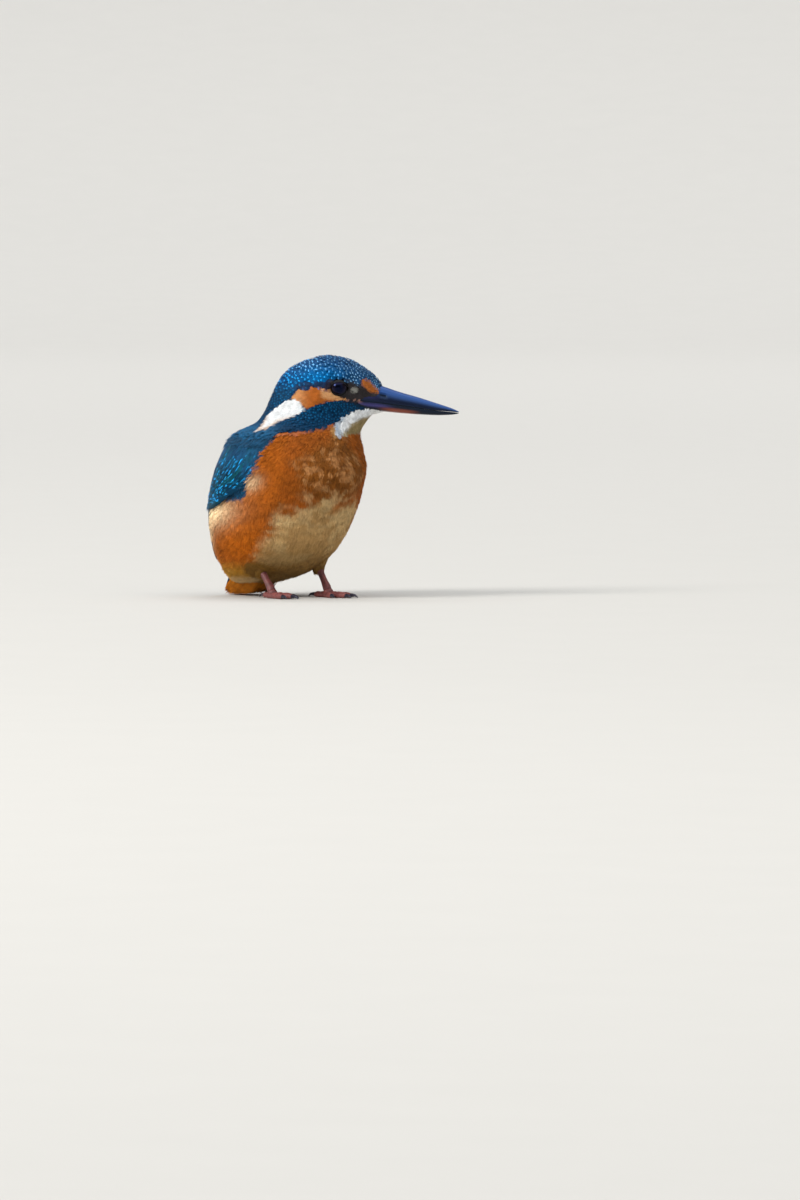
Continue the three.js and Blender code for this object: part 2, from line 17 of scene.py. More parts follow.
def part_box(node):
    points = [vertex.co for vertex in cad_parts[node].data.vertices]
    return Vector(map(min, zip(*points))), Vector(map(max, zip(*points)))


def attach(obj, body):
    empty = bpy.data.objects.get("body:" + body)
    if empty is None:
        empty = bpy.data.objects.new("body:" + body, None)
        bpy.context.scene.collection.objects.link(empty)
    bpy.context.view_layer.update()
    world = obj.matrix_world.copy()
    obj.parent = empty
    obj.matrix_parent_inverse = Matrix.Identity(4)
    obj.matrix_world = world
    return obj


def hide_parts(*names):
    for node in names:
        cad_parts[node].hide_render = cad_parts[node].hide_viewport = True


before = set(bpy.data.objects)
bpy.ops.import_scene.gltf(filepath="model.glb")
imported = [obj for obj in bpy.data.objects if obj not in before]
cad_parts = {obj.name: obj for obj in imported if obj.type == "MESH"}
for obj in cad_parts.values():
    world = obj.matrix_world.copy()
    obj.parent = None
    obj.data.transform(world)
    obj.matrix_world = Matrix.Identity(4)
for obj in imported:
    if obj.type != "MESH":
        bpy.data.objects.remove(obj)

bl_info = {
    "name": "Kingfisher",
    "version": (1, 0, 0),
    "blender": (4, 5, 0),
    "location": "3D View > Sidebar > Kingfisher",
    "description": "Dresses the solids of a perched common kingfisher with skin, plumage, horn and scales",
    "category": "Add Mesh",
}

MM = 0.001
SEED = 41
SIDES = {"right": -1, "left": 1}

# ---------------------------------------------------------------- the bird's measures, as in the solids

BODY_HEADING = 52
HEAD_HEADING = 8
# Level slices through the plumage: height, the slice's centre, the way it is turned, its reach to the front,
# the back and the sides, and the exponent of its front half, which is 2 where it is round.
SLICE_SIZES = ("x", "y", "heading", "front", "back", "half", "point")
SLICES = [
    (4.6, -15.4, 19.7, 52, 4, 3, 5.5, 2),
    (6.5, -14, 17.9, 52, 12, 6, 11, 2),
    (9, -12.5, 16, 52, 20, 8.5, 15.5, 2),
    (12, -11, 14.1, 52, 26.5, 11, 19.3, 2),
    (15.5, -9.6, 12.3, 52, 30, 14.5, 22, 2),
    (20, -8, 10.2, 52, 32.5, 18, 25, 2),
    (28, -6.2, 7.9, 52, 36, 22, 28, 2),
    (34, -4.9, 6.3, 52, 37.3, 24.6, 29.4, 2),
    (41, -3.1, 3.9, 52, 38.8, 26.4, 29.4, 2),
    (48, -1.5, 2, 52, 39.5, 28, 28.8, 2),
    (54, 0, 0, 50, 38.5, 28.6, 28.4, 2),
    (60, 1.2, -1.6, 45, 34, 28.2, 27.2, 2),
    (66, 2.5, -3, 33, 30, 26.8, 24.3, 2),
    (70.3, 4, -4, 22, 27.5, 22.8, 21.5, 1.95),
    (74.5, 6.5, -5, 14, 27.5, 18.6, 18, 1.8),
    (78.6, 9.5, -5.7, 10, 28, 19, 15.8, 1.6),
    (82.6, 12.5, -6.2, 8, 26.6, 20.4, 14.6, 1.5),
    (86.6, 14.5, -6.4, 8, 26.4, 20.7, 13.6, 1.5),
    (90.6, 16, -6.6, 8, 23.2, 20.2, 12.8, 1.6),
    (94.6, 17, -6.8, 8, 18.4, 18.2, 11.5, 1.8),
    (97.6, 17, -6.8, 8, 14, 14.1, 9.5, 2),
    (99.9, 17, -6.8, 8, 9.8, 8.8, 7, 2),
    (101.2, 17, -6.8, 8, 4.8, 4.6, 3.8, 2),
]
CAP = {"share": 0.55, "crown": 0.5, "vent": 0.4}
HEAD_AXIS_Z = 86
EYE = {"ahead": 8.6, "z": 88.2, "radius": 3.9, "sunk": 2.1}
NOSTRIL = {"ahead": 26.5, "z": 85.1, "length": 3.6, "height": 0.8, "slope": -12}

# The bill: distance ahead of the head's centre, heights of culmen, mouth and keel, and half-width.
BILL = [
    (15.5, 89.6, 83.0, 78.9, 8.3),
    (17, 90.2, 82.8, 78.7, 7.7),
    (20, 90, 82.4, 78.5, 6.2),
    (24.5, 89.1, 81.9, 78.3, 4.95),
    (32.5, 86.5, 80.9, 77.6, 4),
    (41, 84.1, 79.8, 77, 3.1),
    (49.5, 81.4, 78.6, 76.7, 2.1),
    (55, 79.6, 78.1, 76.9, 1.2),
    (57.9, 78.3, 77.8, 77.4, 0.35),
]
# How far ahead the feathers reach on the bill's base, at each height.
HORN_EDGE = [
    (76, 26.6), (78.2, 26), (79.2, 21.5), (80.6, 18.2), (82, 17.2), (83, 17.4), (84, 18.6), (84.5, 22),
    (85.1, 24.6), (87, 25.4), (88.6, 26), (91, 26.4),
]

# The folded wing's lower and inner edge, from shoulder to tip: heights and bearings.
WING_LOWER = [
    (66, 62), (58, 67), (50, 74), (45, 82), (41, 94), (38, 111), (34, 124), (28, 130), (21, 135), (15, 142),
]
WING_INNER = [
    (66, 128), (60, 148), (54, 158), (48, 163), (42, 166), (36, 168), (30, 169), (25, 168), (20, 163),
    (15, 152),
]
WING_TOP, WING_FOOT = WING_LOWER[0][0], WING_LOWER[-1][0]
WING = {"tip_lift": 2, "lift_from": 0.68, "hidden": 12}
# Places on the tail and the legs are a distance ahead of the body's middle, one to the side, and a height.
TAIL = {"root": (-19.5, 31), "tip": (-36, 0), "root_half": 3.5, "tip_half": 7.6}

LEGS = {
    "right": {"hip": (-0.5, 11.2, 22), "heel": (-2.6, 12.2, 11.8), "palm": (4.6, 12, 3)},
    "left": {"hip": (5.5, 11.2, 24), "heel": (5, 12.2, 12.6), "palm": (11.8, 12, 3)},
}
THIGH = [(0, 6.5), (0.55, 4.7), (1, 2.3)]
TARSUS = {"sunk": 0.25, "radii": [(0, 1.5), (0.5, 1.25), (0.94, 1.7)]}
PALM = {"radius": 2.2, "ahead": 0.4, "z": 1.9}
TOES = {
    "inner": {"turn": 20, "offset": 1.3, "length": 8.2, "radius": 1.15},
    "middle": {"turn": 2, "offset": 0.15, "length": 13, "radius": 1.3},
    "outer": {"turn": -9, "offset": -1.5, "length": 11.6, "radius": 1.2},
    "hind": {"turn": 172, "offset": 0.3, "length": 7, "radius": 1.2},
}
TOE_PADS = [(0, 1.1), (0.26, 0.9), (0.42, 1.08), (0.57, 0.88), (0.74, 1.02), (0.9, 0.84), (1, 0.6)]
TOE_AXIS = 0.86
CLAW = {"start": 0.45, "sunk": 0.5, "length": 3.6, "radius": 0.72, "rings": 26, "sides": 16}
# Along a claw: the share of its length, its thickness as a share of the thickest, and its height.
CLAW_ARC = [(0, 1, 0.95), (0.3, 0.92, 1.2), (0.6, 0.7, 1.14), (0.85, 0.42, 0.7), (1, 0.2, 0.28)]
FLOOR_GAP = 0.02  # the least height of feathers, toes and claws over the floor
GOLDEN = 0.618034  # steps of this share of a turn spread places evenly

# ---------------------------------------------------------------- numbers


def linear(code):
    """A colour as Blender keeps it, from its sRGB hex code."""
    parts = [int(code[i:i + 2], 16) / 255 for i in (1, 3, 5)]
    return tuple(c / 12.92 if c <= 0.04045 else ((c + 0.055) / 1.055) ** 2.4 for c in parts)


def smooth(low, high, x):
    """0 below low, 1 above high, and smooth between them."""
    t = np.clip((np.asarray(x, float) - low) / (high - low), 0, 1)
    return t * t * (3 - 2 * t)


def mix(a, b, t):
    return a + (b - a) * t


def unit(v):
    return v / np.maximum(np.linalg.norm(v, axis=-1, keepdims=True), 1e-9)


def sides_of(axis, helper):
    """Two directions across an axis and across each other. An upright helper makes the first one level."""
    across = unit(np.cross(axis, helper))
    return across, np.cross(across, axis)


def spokes(axis, helper, turn):
    """Ways out from an axis, one for each turn round it."""
    across, up = sides_of(axis, helper)
    return across * np.cos(turn)[:, None] + up * np.sin(turn)[:, None]


def round_steps(count):
    """The angles of count even steps round a circle."""
    return np.linspace(0, 2 * math.pi, count, endpoint=False)


def dot(a, b):
    return np.sum(a * b, axis=-1)


def curve(rows):
    """A smooth curve through pairs of x and y that never overshoots them."""
    xs, ys = np.array(rows, float).T
    rise = np.diff(ys) / np.diff(xs)
    before, after = rise[:-1], rise[1:]
    total = np.where(before + after == 0, 1, before + after)
    inner = np.where(before * after <= 0, 0, 2 * before * after / total)
    slopes = np.concatenate([rise[:1], inner, rise[-1:]])

    def at(x):
        i = np.clip(np.searchsorted(xs, x, side="right") - 1, 0, len(xs) - 2)
        width = xs[i + 1] - xs[i]
        t = np.clip((x - xs[i]) / width, 0, 1)
        level = mix(ys[i], ys[i + 1], t * t * (3 - 2 * t))
        return level + width * t * (1 - t) * (slopes[i] * (1 - t) - slopes[i + 1] * t)

    return at


def curves(rows):
    """A curve for each later column of a table, over its first column."""
    first, *others = zip(*rows)
    return [curve(list(zip(first, column))) for column in others]


def noise(points, size, seed):
    """Smooth noise from 0 to 1, with lumps of one size in millimetres."""
    place = points / size + 37.7 * seed
    low = np.floor(place).astype(np.int64)
    part = place - low
    part = part * part * (3 - 2 * part)
    total = np.zeros(len(points))
    for corner in np.ndindex(2, 2, 2):
        i, j, k = (low + corner).T
        mixed = (i * 73856093) ^ (j * 19349663) ^ (k * 83492791) ^ (seed * 2654435)
        mixed = (mixed ^ (mixed >> 13)) * 1274126177
        value = ((mixed ^ (mixed >> 16)) & 0xFFFF) / 0xFFFF
        share = np.where(corner, part, 1 - part)
        total += value * share.prod(axis=1)
    return total


def outline_depth(outline, across, up):
    """How far places lie inside a closed outline; outside it the depth is negative."""
    nearest = np.full(len(across), 1e9)
    crossings = np.zeros(len(across), int)
    for (x0, y0), (x1, y1) in zip(outline, outline[1:] + outline[:1]):
        dx, dy = x1 - x0, y1 - y0
        t = np.clip(((across - x0) * dx + (up - y0) * dy) / (dx * dx + dy * dy), 0, 1)
        nearest = np.minimum(nearest, np.hypot(across - x0 - t * dx, up - y0 - t * dy))
        spans = (y0 > up) != (y1 > up)
        if dy:
            crossings += spans & (across < x0 + (up - y0) * dx / dy)
    return np.where(crossings % 2 == 1, nearest, -nearest)


# ---------------------------------------------------------------- places on the bird

SLICE = dict(zip(SLICE_SIZES, curves(SLICES)))
LOWEST, HIGHEST = SLICES[0][0], SLICES[-1][0]
BILL_CURVES = curves(BILL)


def ahead(heading):
    turn = np.radians(heading)
    return np.stack([np.cos(turn), -np.sin(turn), 0 * turn], -1)


def left_of(heading):
    turn = np.radians(heading)
    return np.stack([np.sin(turn), np.cos(turn), 0 * turn], -1)


def centre(z):
    z = np.asarray(z, float)
    return np.stack([SLICE["x"](z), SLICE["y"](z), z], -1)


def slice_point(z, turn):
    """A place on the plumage at a height and a turn in radians from the slice's own heading."""
    c, s = np.cos(turn), np.sin(turn)
    power = np.where(c > 0, 2 / SLICE["point"](z), 1)
    length = np.where(c > 0, SLICE["front"](z), SLICE["back"](z))
    forward = np.sign(c) * np.abs(c) ** power * length
    left = np.sign(s) * np.abs(s) ** power * SLICE["half"](z)
    heading = SLICE["heading"](z)
    return centre(z) + ahead(heading) * forward[..., None] + left_of(heading) * left[..., None]


def plumage(z, bearing, lift):
    """A place on the plumage and its normal, at a height and a bearing, raised by a lift."""
    z, bearing = np.broadcast_arrays(np.asarray(z, float), np.asarray(bearing, float))

    def turn(height):
        return np.radians(bearing + SLICE["heading"](height) - BODY_HEADING)

    high, wide = 0.4, 0.02
    around = slice_point(z, turn(z) + wide) - slice_point(z, turn(z) - wide)
    up = slice_point(z + high, turn(z + high)) - slice_point(z - high, turn(z - high))
    normal = unit(np.cross(around, up))
    return slice_point(z, turn(z)) + normal * np.asarray(lift)[..., None], normal


def slice_shares(points):
    """Places as shares of their slice's reach, ahead and to the left, and the slices' headings."""
    z = np.clip(points[:, 2], LOWEST, HIGHEST)
    out = points - centre(z)
    heading = SLICE["heading"](z)
    forward, left = dot(out, ahead(heading)), dot(out, left_of(heading))
    front = forward > 0
    power = np.where(front, SLICE["point"](z) / 2, 1)
    reach = np.where(front, SLICE["front"](z), SLICE["back"](z))
    c = np.sign(forward) * (np.abs(forward) / reach) ** power
    s = np.sign(left) * (np.abs(left) / SLICE["half"](z)) ** power
    return c, s, heading


def bearing_of(points):
    """The bearing of places on or near the plumage."""
    c, s, heading = slice_shares(points)
    return (np.degrees(np.arctan2(s, c)) - heading + BODY_HEADING + 180) % 360 - 180


def on_body(forward, left, z):
    """A place given ahead and to the left of the body's middle."""
    forward, left, z = np.broadcast_arrays(*(np.asarray(v, float) for v in (forward, left, z)))
    flat = ahead(BODY_HEADING) * forward[..., None] + left_of(BODY_HEADING) * left[..., None]
    return flat + np.stack([0 * z, 0 * z, z], -1)


def on_head(forward, left, z):
    """A place given ahead and to the left of the head's middle."""
    forward, left, z = np.broadcast_arrays(*(np.asarray(v, float) for v in (forward, left, z)))
    place = centre(HEAD_AXIS_Z) + ahead(HEAD_HEADING) * forward[..., None]
    place = place + left_of(HEAD_HEADING) * left[..., None]
    return np.stack([place[..., 0], place[..., 1], z], -1)


def head_place(points):
    """How far places are ahead and to the left of the head's middle."""
    out = points - centre(HEAD_AXIS_Z)
    return dot(out, ahead(HEAD_HEADING)), dot(out, left_of(HEAD_HEADING))


def on_face(side, forward, z, sunk):
    """A place on one side of the face, sunk below the plumage."""
    z = np.asarray(z, float)
    local = dot(on_head(forward, 0, z) - centre(z), ahead(HEAD_HEADING))
    share = np.minimum(local / SLICE["front"](z), 0.99)
    power = SLICE["point"](z)
    out = SLICE["half"](z) * (1 - np.sign(share) * np.abs(share) ** power) ** (1 / power)
    flat = centre(z) + ahead(HEAD_HEADING) * local[..., None]
    return flat + left_of(HEAD_HEADING) * (side * (out - sunk))[..., None]


def edge_curves(edge):
    """Curves of an edge's heights and bearings over the share of its length."""
    return curves((share, *place) for share, place in zip(np.linspace(0, 1, len(edge)), edge))


LOWER_HEIGHT, LOWER_BEARING = edge_curves(WING_LOWER)
INNER_HEIGHT, INNER_BEARING = edge_curves(WING_INNER)
LOWER_EDGE = curve(sorted(WING_LOWER))
INNER_EDGE = curve(sorted(WING_INNER))


def on_wing(side, far, across, lift):
    """A place on the folded wing: far runs from shoulder to tip, across from the lower to the inner edge."""
    hidden = WING["hidden"] * (1 - far) * (1 - across) if side > 0 else 0
    z = mix(LOWER_HEIGHT(far), INNER_HEIGHT(far), across)
    bearing = mix(LOWER_BEARING(far) + hidden, INNER_BEARING(far), across)
    late = np.maximum(0, (far - WING["lift_from"]) / (1 - WING["lift_from"]))
    return plumage(z, side * bearing, lift + WING["tip_lift"] * late * late)


def on_tail(far, left, lift):
    """A place on the tail: far runs from root to tip, and lift is off its back."""
    root, tip = np.array(TAIL["root"], float), np.array(TAIL["tip"], float)
    down = (tip - root) / np.hypot(*(tip - root))
    forward = mix(root[0], tip[0], far) + down[1] * lift
    z = mix(root[1], tip[1], far) - down[0] * lift
    point = on_body(forward, left, z)
    return point, np.broadcast_to(on_body(down[1], 0, -down[0]), point.shape)


def wing_depth(points):
    """How far places lie inside the outline of the folded wing."""
    z, bearing = points[:, 2], bearing_of(points)
    level = np.clip(z, WING_FOOT, WING_TOP)
    hidden = WING["hidden"] * (level - WING_FOOT) / (WING_TOP - WING_FOOT)
    lower = LOWER_EDGE(level) + np.where(bearing > 0, hidden, 0)
    for_degree = np.radians(SLICE["half"](level))
    past_lower = (np.abs(bearing) - lower) * for_degree
    past_inner = (INNER_EDGE(level) - np.abs(bearing)) * for_degree
    return np.minimum.reduce([past_lower, past_inner, WING_TOP - z, z - WING_FOOT])


def bill_shape(forward):
    """Heights of culmen, mouth and keel, and the half-width of the bill."""
    return [size(forward) for size in BILL_CURVES]


def on_bill(forward):
    """The same distances ahead, or the bill's base for those that lie behind it."""
    return np.maximum(forward, BILL[0][0])


def leg_place(hand, place):
    forward, out, z = place
    return on_body(forward, SIDES[hand] * out, z)


def toe_place(hand, toe, far, z):
    """A place along a toe, from the palm outwards."""
    side = SIDES[hand]
    forward, middle, _ = LEGS[hand]["palm"]
    turn = math.radians(-side * toe["turn"])
    left = side * (middle - toe["offset"]) + far * math.sin(turn)
    return on_body(forward + far * math.cos(turn), left, z)


# The frame's origin lies under the middle of the solids, so one eye tells how far it is from the bird's own.
EYE_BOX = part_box("eye_right")
EYES = {side: on_face(side, EYE["ahead"], EYE["z"], EYE["sunk"]) for side in SIDES.values()}
SHIFT = EYES[SIDES["right"]] - np.array((EYE_BOX[0] + EYE_BOX[1]) / 2) / MM


def to_scene(points):
    return (np.asarray(points, float) - SHIFT) * MM


# ---------------------------------------------------------------- meshes


def new_object(name, data):
    made = bpy.data.objects.new(name, data)
    bpy.context.scene.collection.objects.link(made)
    return made


def mesh_object(name, points, loops, starts, material):
    """An object at the origin from points in millimetres and faces given as one run of corners."""
    mesh = bpy.data.meshes.new(name)
    mesh.vertices.add(len(points))
    mesh.vertices.foreach_set("co", to_scene(points).astype(np.float32).ravel())
    mesh.loops.add(len(loops))
    mesh.loops.foreach_set("vertex_index", np.asarray(loops, np.int32))
    mesh.polygons.add(len(starts))
    mesh.polygons.foreach_set("loop_start", np.asarray(starts, np.int32))
    mesh.update(calc_edges=True)
    mesh.polygons.foreach_set("use_smooth", np.full(len(starts), True))
    mesh.materials.append(material)
    return new_object(name, mesh)


def face_runs(faces):
    """Faces of any size as one run of corners and the place where each starts."""
    loops = np.concatenate([np.asarray(face) for face in faces])
    starts = np.concatenate([[0], np.cumsum([len(face) for face in faces])[:-1]])
    return loops, starts


def tube_faces(rings, sides):
    """The faces of a closed tube: rings of points, then one point in the middle of each end."""
    faces = []
    first, last = rings * sides, rings * sides + 1
    for j in range(sides):
        k = (j + 1) % sides
        for i in range(rings - 1):
            a, b = i * sides, (i + 1) * sides
            faces.append((a + j, a + k, b + k, b + j))
        faces.append((first, k, j))
        faces.append((last, (rings - 1) * sides + j, (rings - 1) * sides + k))
    return faces


def tube_points(rings):
    """The points of a tube's rings, or their colours, then those in the middle of each end."""
    rings = np.asarray(rings, float)
    ends = [rings[0].mean(axis=0), rings[-1].mean(axis=0)]
    return np.concatenate([rings.reshape(-1, 3), ends])


def tube_object(name, rings, material):
    loops, starts = face_runs(tube_faces(len(rings), rings.shape[1]))
    return mesh_object(name, tube_points(rings), loops, starts, material)


def evaluated_copy(made, name):
    """A new object with the mesh that an object's modifiers make; the object itself is removed."""
    graph = bpy.context.evaluated_depsgraph_get()
    mesh = bpy.data.meshes.new_from_object(made.evaluated_get(graph))
    mesh.name = name
    copy = new_object(name, mesh)
    bpy.data.objects.remove(made)
    return copy


def plain(colour, count):
    """One colour, count times."""
    return np.tile(np.array(tuple(colour)), (count, 1))


def paint_points(made, name, colours):
    layer = made.data.attributes.new(name, "FLOAT_COLOR", "POINT")
    full = np.ones((len(colours), 4), np.float32)
    full[:, :3] = colours
    layer.data.foreach_set("color", full.ravel())


def give_numbers(made, name, values):
    layer = made.data.attributes.new(name, "FLOAT", "POINT")
    layer.data.foreach_set("value", np.asarray(values, np.float32))


def give_uv(made, name, places):
    """A UV map from one place for each point."""
    corners = np.empty(len(made.data.loops), np.int32)
    made.data.loops.foreach_get("vertex_index", corners)
    layer = made.data.uv_layers.new(name=name)
    layer.data.foreach_set("uv", np.asarray(places, np.float32)[corners].ravel())


def give_grain(made, far, around):
    """A tube's grain as a UV map: each ring's share of its length, and each side's share of its girth."""
    places = np.stack(np.meshgrid(far, around, indexing="ij"), -1).reshape(-1, 2)
    give_uv(made, "Grain", np.concatenate([places, [[0, 0.5], [1, 0.5]]]))


def limb_rings(places, radii, sides, squash=1.0):
    """Round sections along a line of places."""
    places = np.asarray(places, float)
    shaft = unit(np.gradient(places, axis=0))
    upright = np.abs(shaft[:, 2:]) > 0.9
    helper = np.where(upright, [[1.0, 0, 0]], [[0, 0, 1.0]])
    across = unit(np.cross(shaft, helper))
    up = np.cross(shaft, across)
    turn = round_steps(sides)
    round_trip = across[:, None] * np.cos(turn)[None, :, None]
    round_trip = round_trip + squash * up[:, None] * np.sin(turn)[None, :, None]
    return places[:, None] + round_trip * np.asarray(radii)[:, None, None]


def finish_piece(made, slot, *nodes):
    """Tells the frame which body a piece rides on and which nodes it replaces. Its slot is not used."""
    if nodes:
        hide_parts(*nodes)
    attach(made, "root")
    return made


# ---------------------------------------------------------------- the plumage's surface


class Surface:
    """The plumage's outer surface as fine closed meshes that feathers are rooted on."""

    def __init__(self):
        parts = [self.trunk(), *(self.thigh(hand) for hand in LEGS)]
        self.skin_faces = sum(len(faces) for _, faces in parts)
        parts.append(self.bill_base())
        self.points = np.concatenate([points for points, _ in parts])
        self.faces, before = [], 0
        for points, faces in parts:
            self.faces += [tuple(k + before for k in face) for face in faces]
            before += len(points)
        self.skin_points = before - len(parts[-1][0])
        self.triangles = np.array([(f[0], f[k], f[k + 1]) for f in self.faces for k in range(1, len(f) - 1)])
        a, b, c = (self.points[self.triangles[:, k]] for k in range(3))
        cross = np.cross(b - a, c - a)
        self.areas = np.linalg.norm(cross, axis=1) / 2
        normals = np.zeros_like(self.points)
        for k in range(3):
            np.add.at(normals, self.triangles[:, k], cross)
        self.normals = unit(normals)
        self.tree = BVHTree.FromPolygons(self.points.tolist(), self.faces)

    def trunk(self, rows=170, sides=200):
        """Head, neck and torso, with rows closer together towards the crown and the vent."""
        share = 0.5 - 0.5 * np.cos(np.linspace(0, math.pi, rows))
        heights = mix(LOWEST, HIGHEST, share)
        z, turn = np.meshgrid(heights, round_steps(sides), indexing="ij")
        rings = list(slice_point(z, turn))
        rings.insert(0, self.cap(rings[0], LOWEST - CAP["vent"]))
        rings.append(self.cap(rings[-1], HIGHEST + CAP["crown"]))
        return tube_points(rings), tube_faces(len(rings), sides)

    @staticmethod
    def cap(ring, z):
        """A smaller ring that rounds off an end."""
        inner = mix(ring, centre(z), CAP["share"])
        inner[:, 2] = z
        return inner

    @staticmethod
    def thigh(hand, rings=22, sides=40):
        share = np.linspace(0, 1, rings)
        hip, heel = leg_place(hand, LEGS[hand]["hip"]), leg_place(hand, LEGS[hand]["heel"])
        line = mix(hip, heel, share[:, None])
        return tube_points(limb_rings(line, curve(THIGH)(share), sides)), tube_faces(rings, sides)

    @staticmethod
    def bill_base(rings=30, sides=48, clear=0.22):
        """The base of the bill, which carries small feathers of face and chin."""
        forward = np.linspace(14, 27.5, rings)[:, None]
        turn = round_steps(sides)[None]
        culmen, mouth, keel, half = bill_shape(on_bill(forward))
        chin = 1.3 * smooth(27, 21, forward)
        tall = np.where(np.sin(turn) > 0, culmen - mouth, mouth - keel + chin) + clear
        left = np.sign(np.cos(turn)) * np.abs(np.cos(turn)) ** 0.85 * (half + clear)
        z = mouth + np.sign(np.sin(turn)) * np.abs(np.sin(turn)) ** 1.15 * tall
        return tube_points(on_head(forward + 0 * left, left, z)), tube_faces(rings, sides)

    def nearest(self, places):
        """The nearest places on the surface, and the normals there."""
        found = [self.tree.find_nearest(place) for place in places.tolist()]
        return np.array([f[0] for f in found]), np.array([f[1] for f in found])

    def scatter(self, spacing, crowd=4.0, rounds=8):
        """Roots spread evenly over the surface, and their normals; spacing gives the gap at each place.

        Many places are drawn at random and thinned out, and those that are kept push each other apart.
        """
        random = np.random.default_rng(SEED)
        gap = spacing(self.points[self.triangles].mean(axis=1))
        wanted = np.where(gap > 0, self.areas / np.maximum(gap, 1e-3) ** 2, 0)
        chosen = random.choice(len(wanted), int(crowd * wanted.sum()), p=wanted / wanted.sum())
        u, v = random.random(len(chosen)), random.random(len(chosen))
        over = u + v > 1
        u, v = np.where(over, 1 - u, u), np.where(over, 1 - v, v)
        weights = np.stack([1 - u - v, u, v], -1)[..., None]
        places = (self.points[self.triangles[chosen]] * weights).sum(axis=1)
        gap = spacing(places)
        tree = self.look_up(places)
        taken = bytearray(len(places))
        kept = []
        for i, place in enumerate(places.tolist()):
            if taken[i] or gap[i] <= 0:
                continue
            kept.append(i)
            for _, j, _ in tree.find_range(place, gap[i] * 0.86):
                taken[j] = 1
        places, gap = places[kept], gap[kept][:, None]
        for _ in range(rounds):
            tree = self.look_up(places)
            near = np.array([[j for _, j, _ in tree.find_n(place, 7)][1:] for place in places.tolist()])
            away = places[:, None] - places[near]
            far = np.maximum(np.linalg.norm(away, axis=-1), 1e-6)
            push = np.maximum(1.15 * gap - far, 0) / far * 0.3
            places, normals = self.nearest(places + (away * push[..., None]).sum(axis=1))
        return places, normals

    @staticmethod
    def look_up(places):
        tree = KDTree(len(places))
        for i, place in enumerate(places.tolist()):
            tree.insert(place, i)
        tree.balance()
        return tree


SURFACE = Surface()


def lie(points, normals):
    """The way that the feathers lie: back from the bill on the head, and down to the tail on the body."""
    z = points[:, 2]
    headed = smooth(68, 80, z)[:, None]
    belly = 1 - smooth(10, 34, z)[:, None]
    back = -(ahead(HEAD_HEADING) * headed + ahead(BODY_HEADING) * (1 - headed))
    along = back * mix(0.42 + 0.9 * belly, 1.0, headed)
    along = along + np.array([0, 0, -1.0]) * mix(1.0, 0.42, headed)
    along = along - normals * dot(along, normals)[:, None]
    return unit(along)


# ---------------------------------------------------------------- markings

CHIN_Z = 76  # the horn of the bill lies above this
NECK_Z = (66, 76)  # the coat changes from the body's to the head's between these
COAT_CROWN = 0.12  # how far small feathers arch, as a share of their half-width

# Outlines on the side of the head, in millimetres ahead of the head's middle and above the floor.
EAR_PATCH = [
    (-11.2, 84), (-8.8, 87.1), (-4.6, 87.9), (0.1, 88.4), (3.6, 87), (7.5, 84.9), (12.2, 83.3), (3.9, 82.6),
    (-0.3, 81.1), (-5.2, 79.2), (-7.1, 82.3),
]
EAR_PALE = [(1, 88), (4, 87), (12.2, 83.4), (9, 82.8), (2, 84)]
NECK_PATCH = [
    (-25.4, 69.2), (-22.2, 76.2), (-18.1, 79.8), (-13, 82.7), (-9.8, 83.4), (-7, 82.4), (-5.7, 78.9),
    (-9.7, 76.5), (-13, 75.1), (-16.9, 73.6), (-20, 71.2),
]
THROAT_PATCH = [
    (31, 79.2), (22, 79.2), (16.5, 78.7), (13.2, 77.6), (10.4, 76), (7.8, 73.4), (8.2, 69.8), (9.9, 67.2),
    (12, 68), (15.5, 68.8), (20, 69.5), (31, 70.5),
]
# The outline of the painted shade in the throat's middle, under the bill.
THROAT_SHADE = [
    (10.6, 66), (11, 68.3), (12.9, 71), (15.2, 73.4), (17.9, 75), (21, 76), (25, 77), (31, 77.4), (31, 66),
]
LORES = [
    (28, 86.3), (24, 87.2), (18.5, 88.4), (14.8, 90.4), (11, 91.2), (4.6, 91.2), (3, 88.4), (5, 85.5),
    (12, 82.6), (28, 79),
]
LORAL_PATCH = [(17.6, 91.6), (20.4, 91.3), (24.3, 87.2), (24, 85.9), (21.2, 86.2), (17.9, 89.2)]
EYE_LINE = [(5.5, 91), (-1, 90.5), (-9, 89.4), (-11.5, 88), (-9, 87), (-4.7, 87.9), (0.1, 88.4), (4, 87.4)]
# The lowest blue of head and neck at each distance ahead of the head's middle.
BLUE_FLOOR = [
    (-24, 58), (-18.1, 64.6), (-14.9, 69.1), (-12.2, 69.7), (-2.4, 70.1), (2.7, 71.4), (5.6, 72.2),
    (8.5, 73), (15.5, 75), (27, 76), (40, 78.6),
]
# The bearing where the mantle starts at each height, and the top of the belly's cream at each bearing.
MANTLE_EDGE = [(40, 76), (52, 72), (58, 68), (65, 67), (70, 62), (76, 60)]
CREAM_TOP = [(0, 36), (14, 38), (22, 36.3), (32, 33), (44, 28), (55, 20), (64, 10), (70, 4)]

# Soft spots: the middle across and up, and the half-widths. Those of the body count bearings across.
DUSKY_PATCH = (-6, 53, 33, 14)
FLANK_DEEP = (70, 24, 17, 11)
# A pale fringe below the wing, brightened further as a painted highlight where light falls on the flank.
FLANK_PALE_HIGHLIGHT = ((1, (104, 36, 22, 6)), (0.8, (124, 28, 14, 8)), (0.6, (71, 48.5, 7, 3.5)))
CROWN_BRIGHT = (1, 93, 8, 3.6)
PALE_SPOT = (14.9, 87.1, 1.6, 1.35)


def off_spot(across, up, spot):
    """How far places lie from the middle of a soft spot, where 1 is its edge."""
    x, y, wide, high = spot
    return np.hypot((across - x) / wide, (up - y) / high)


def glow(across, up, spot):
    x, y, wide, high = spot
    return np.exp(-(((across - x) / wide) ** 2) - ((up - y) / high) ** 2)


def smooth_mask(depth, soft):
    return smooth(-soft, soft, depth)


def paint(colours, mask, colour):
    """Lays a colour over colours where a mask says."""
    return colours + np.asarray(mask)[:, None] * (np.asarray(colour) - colours)


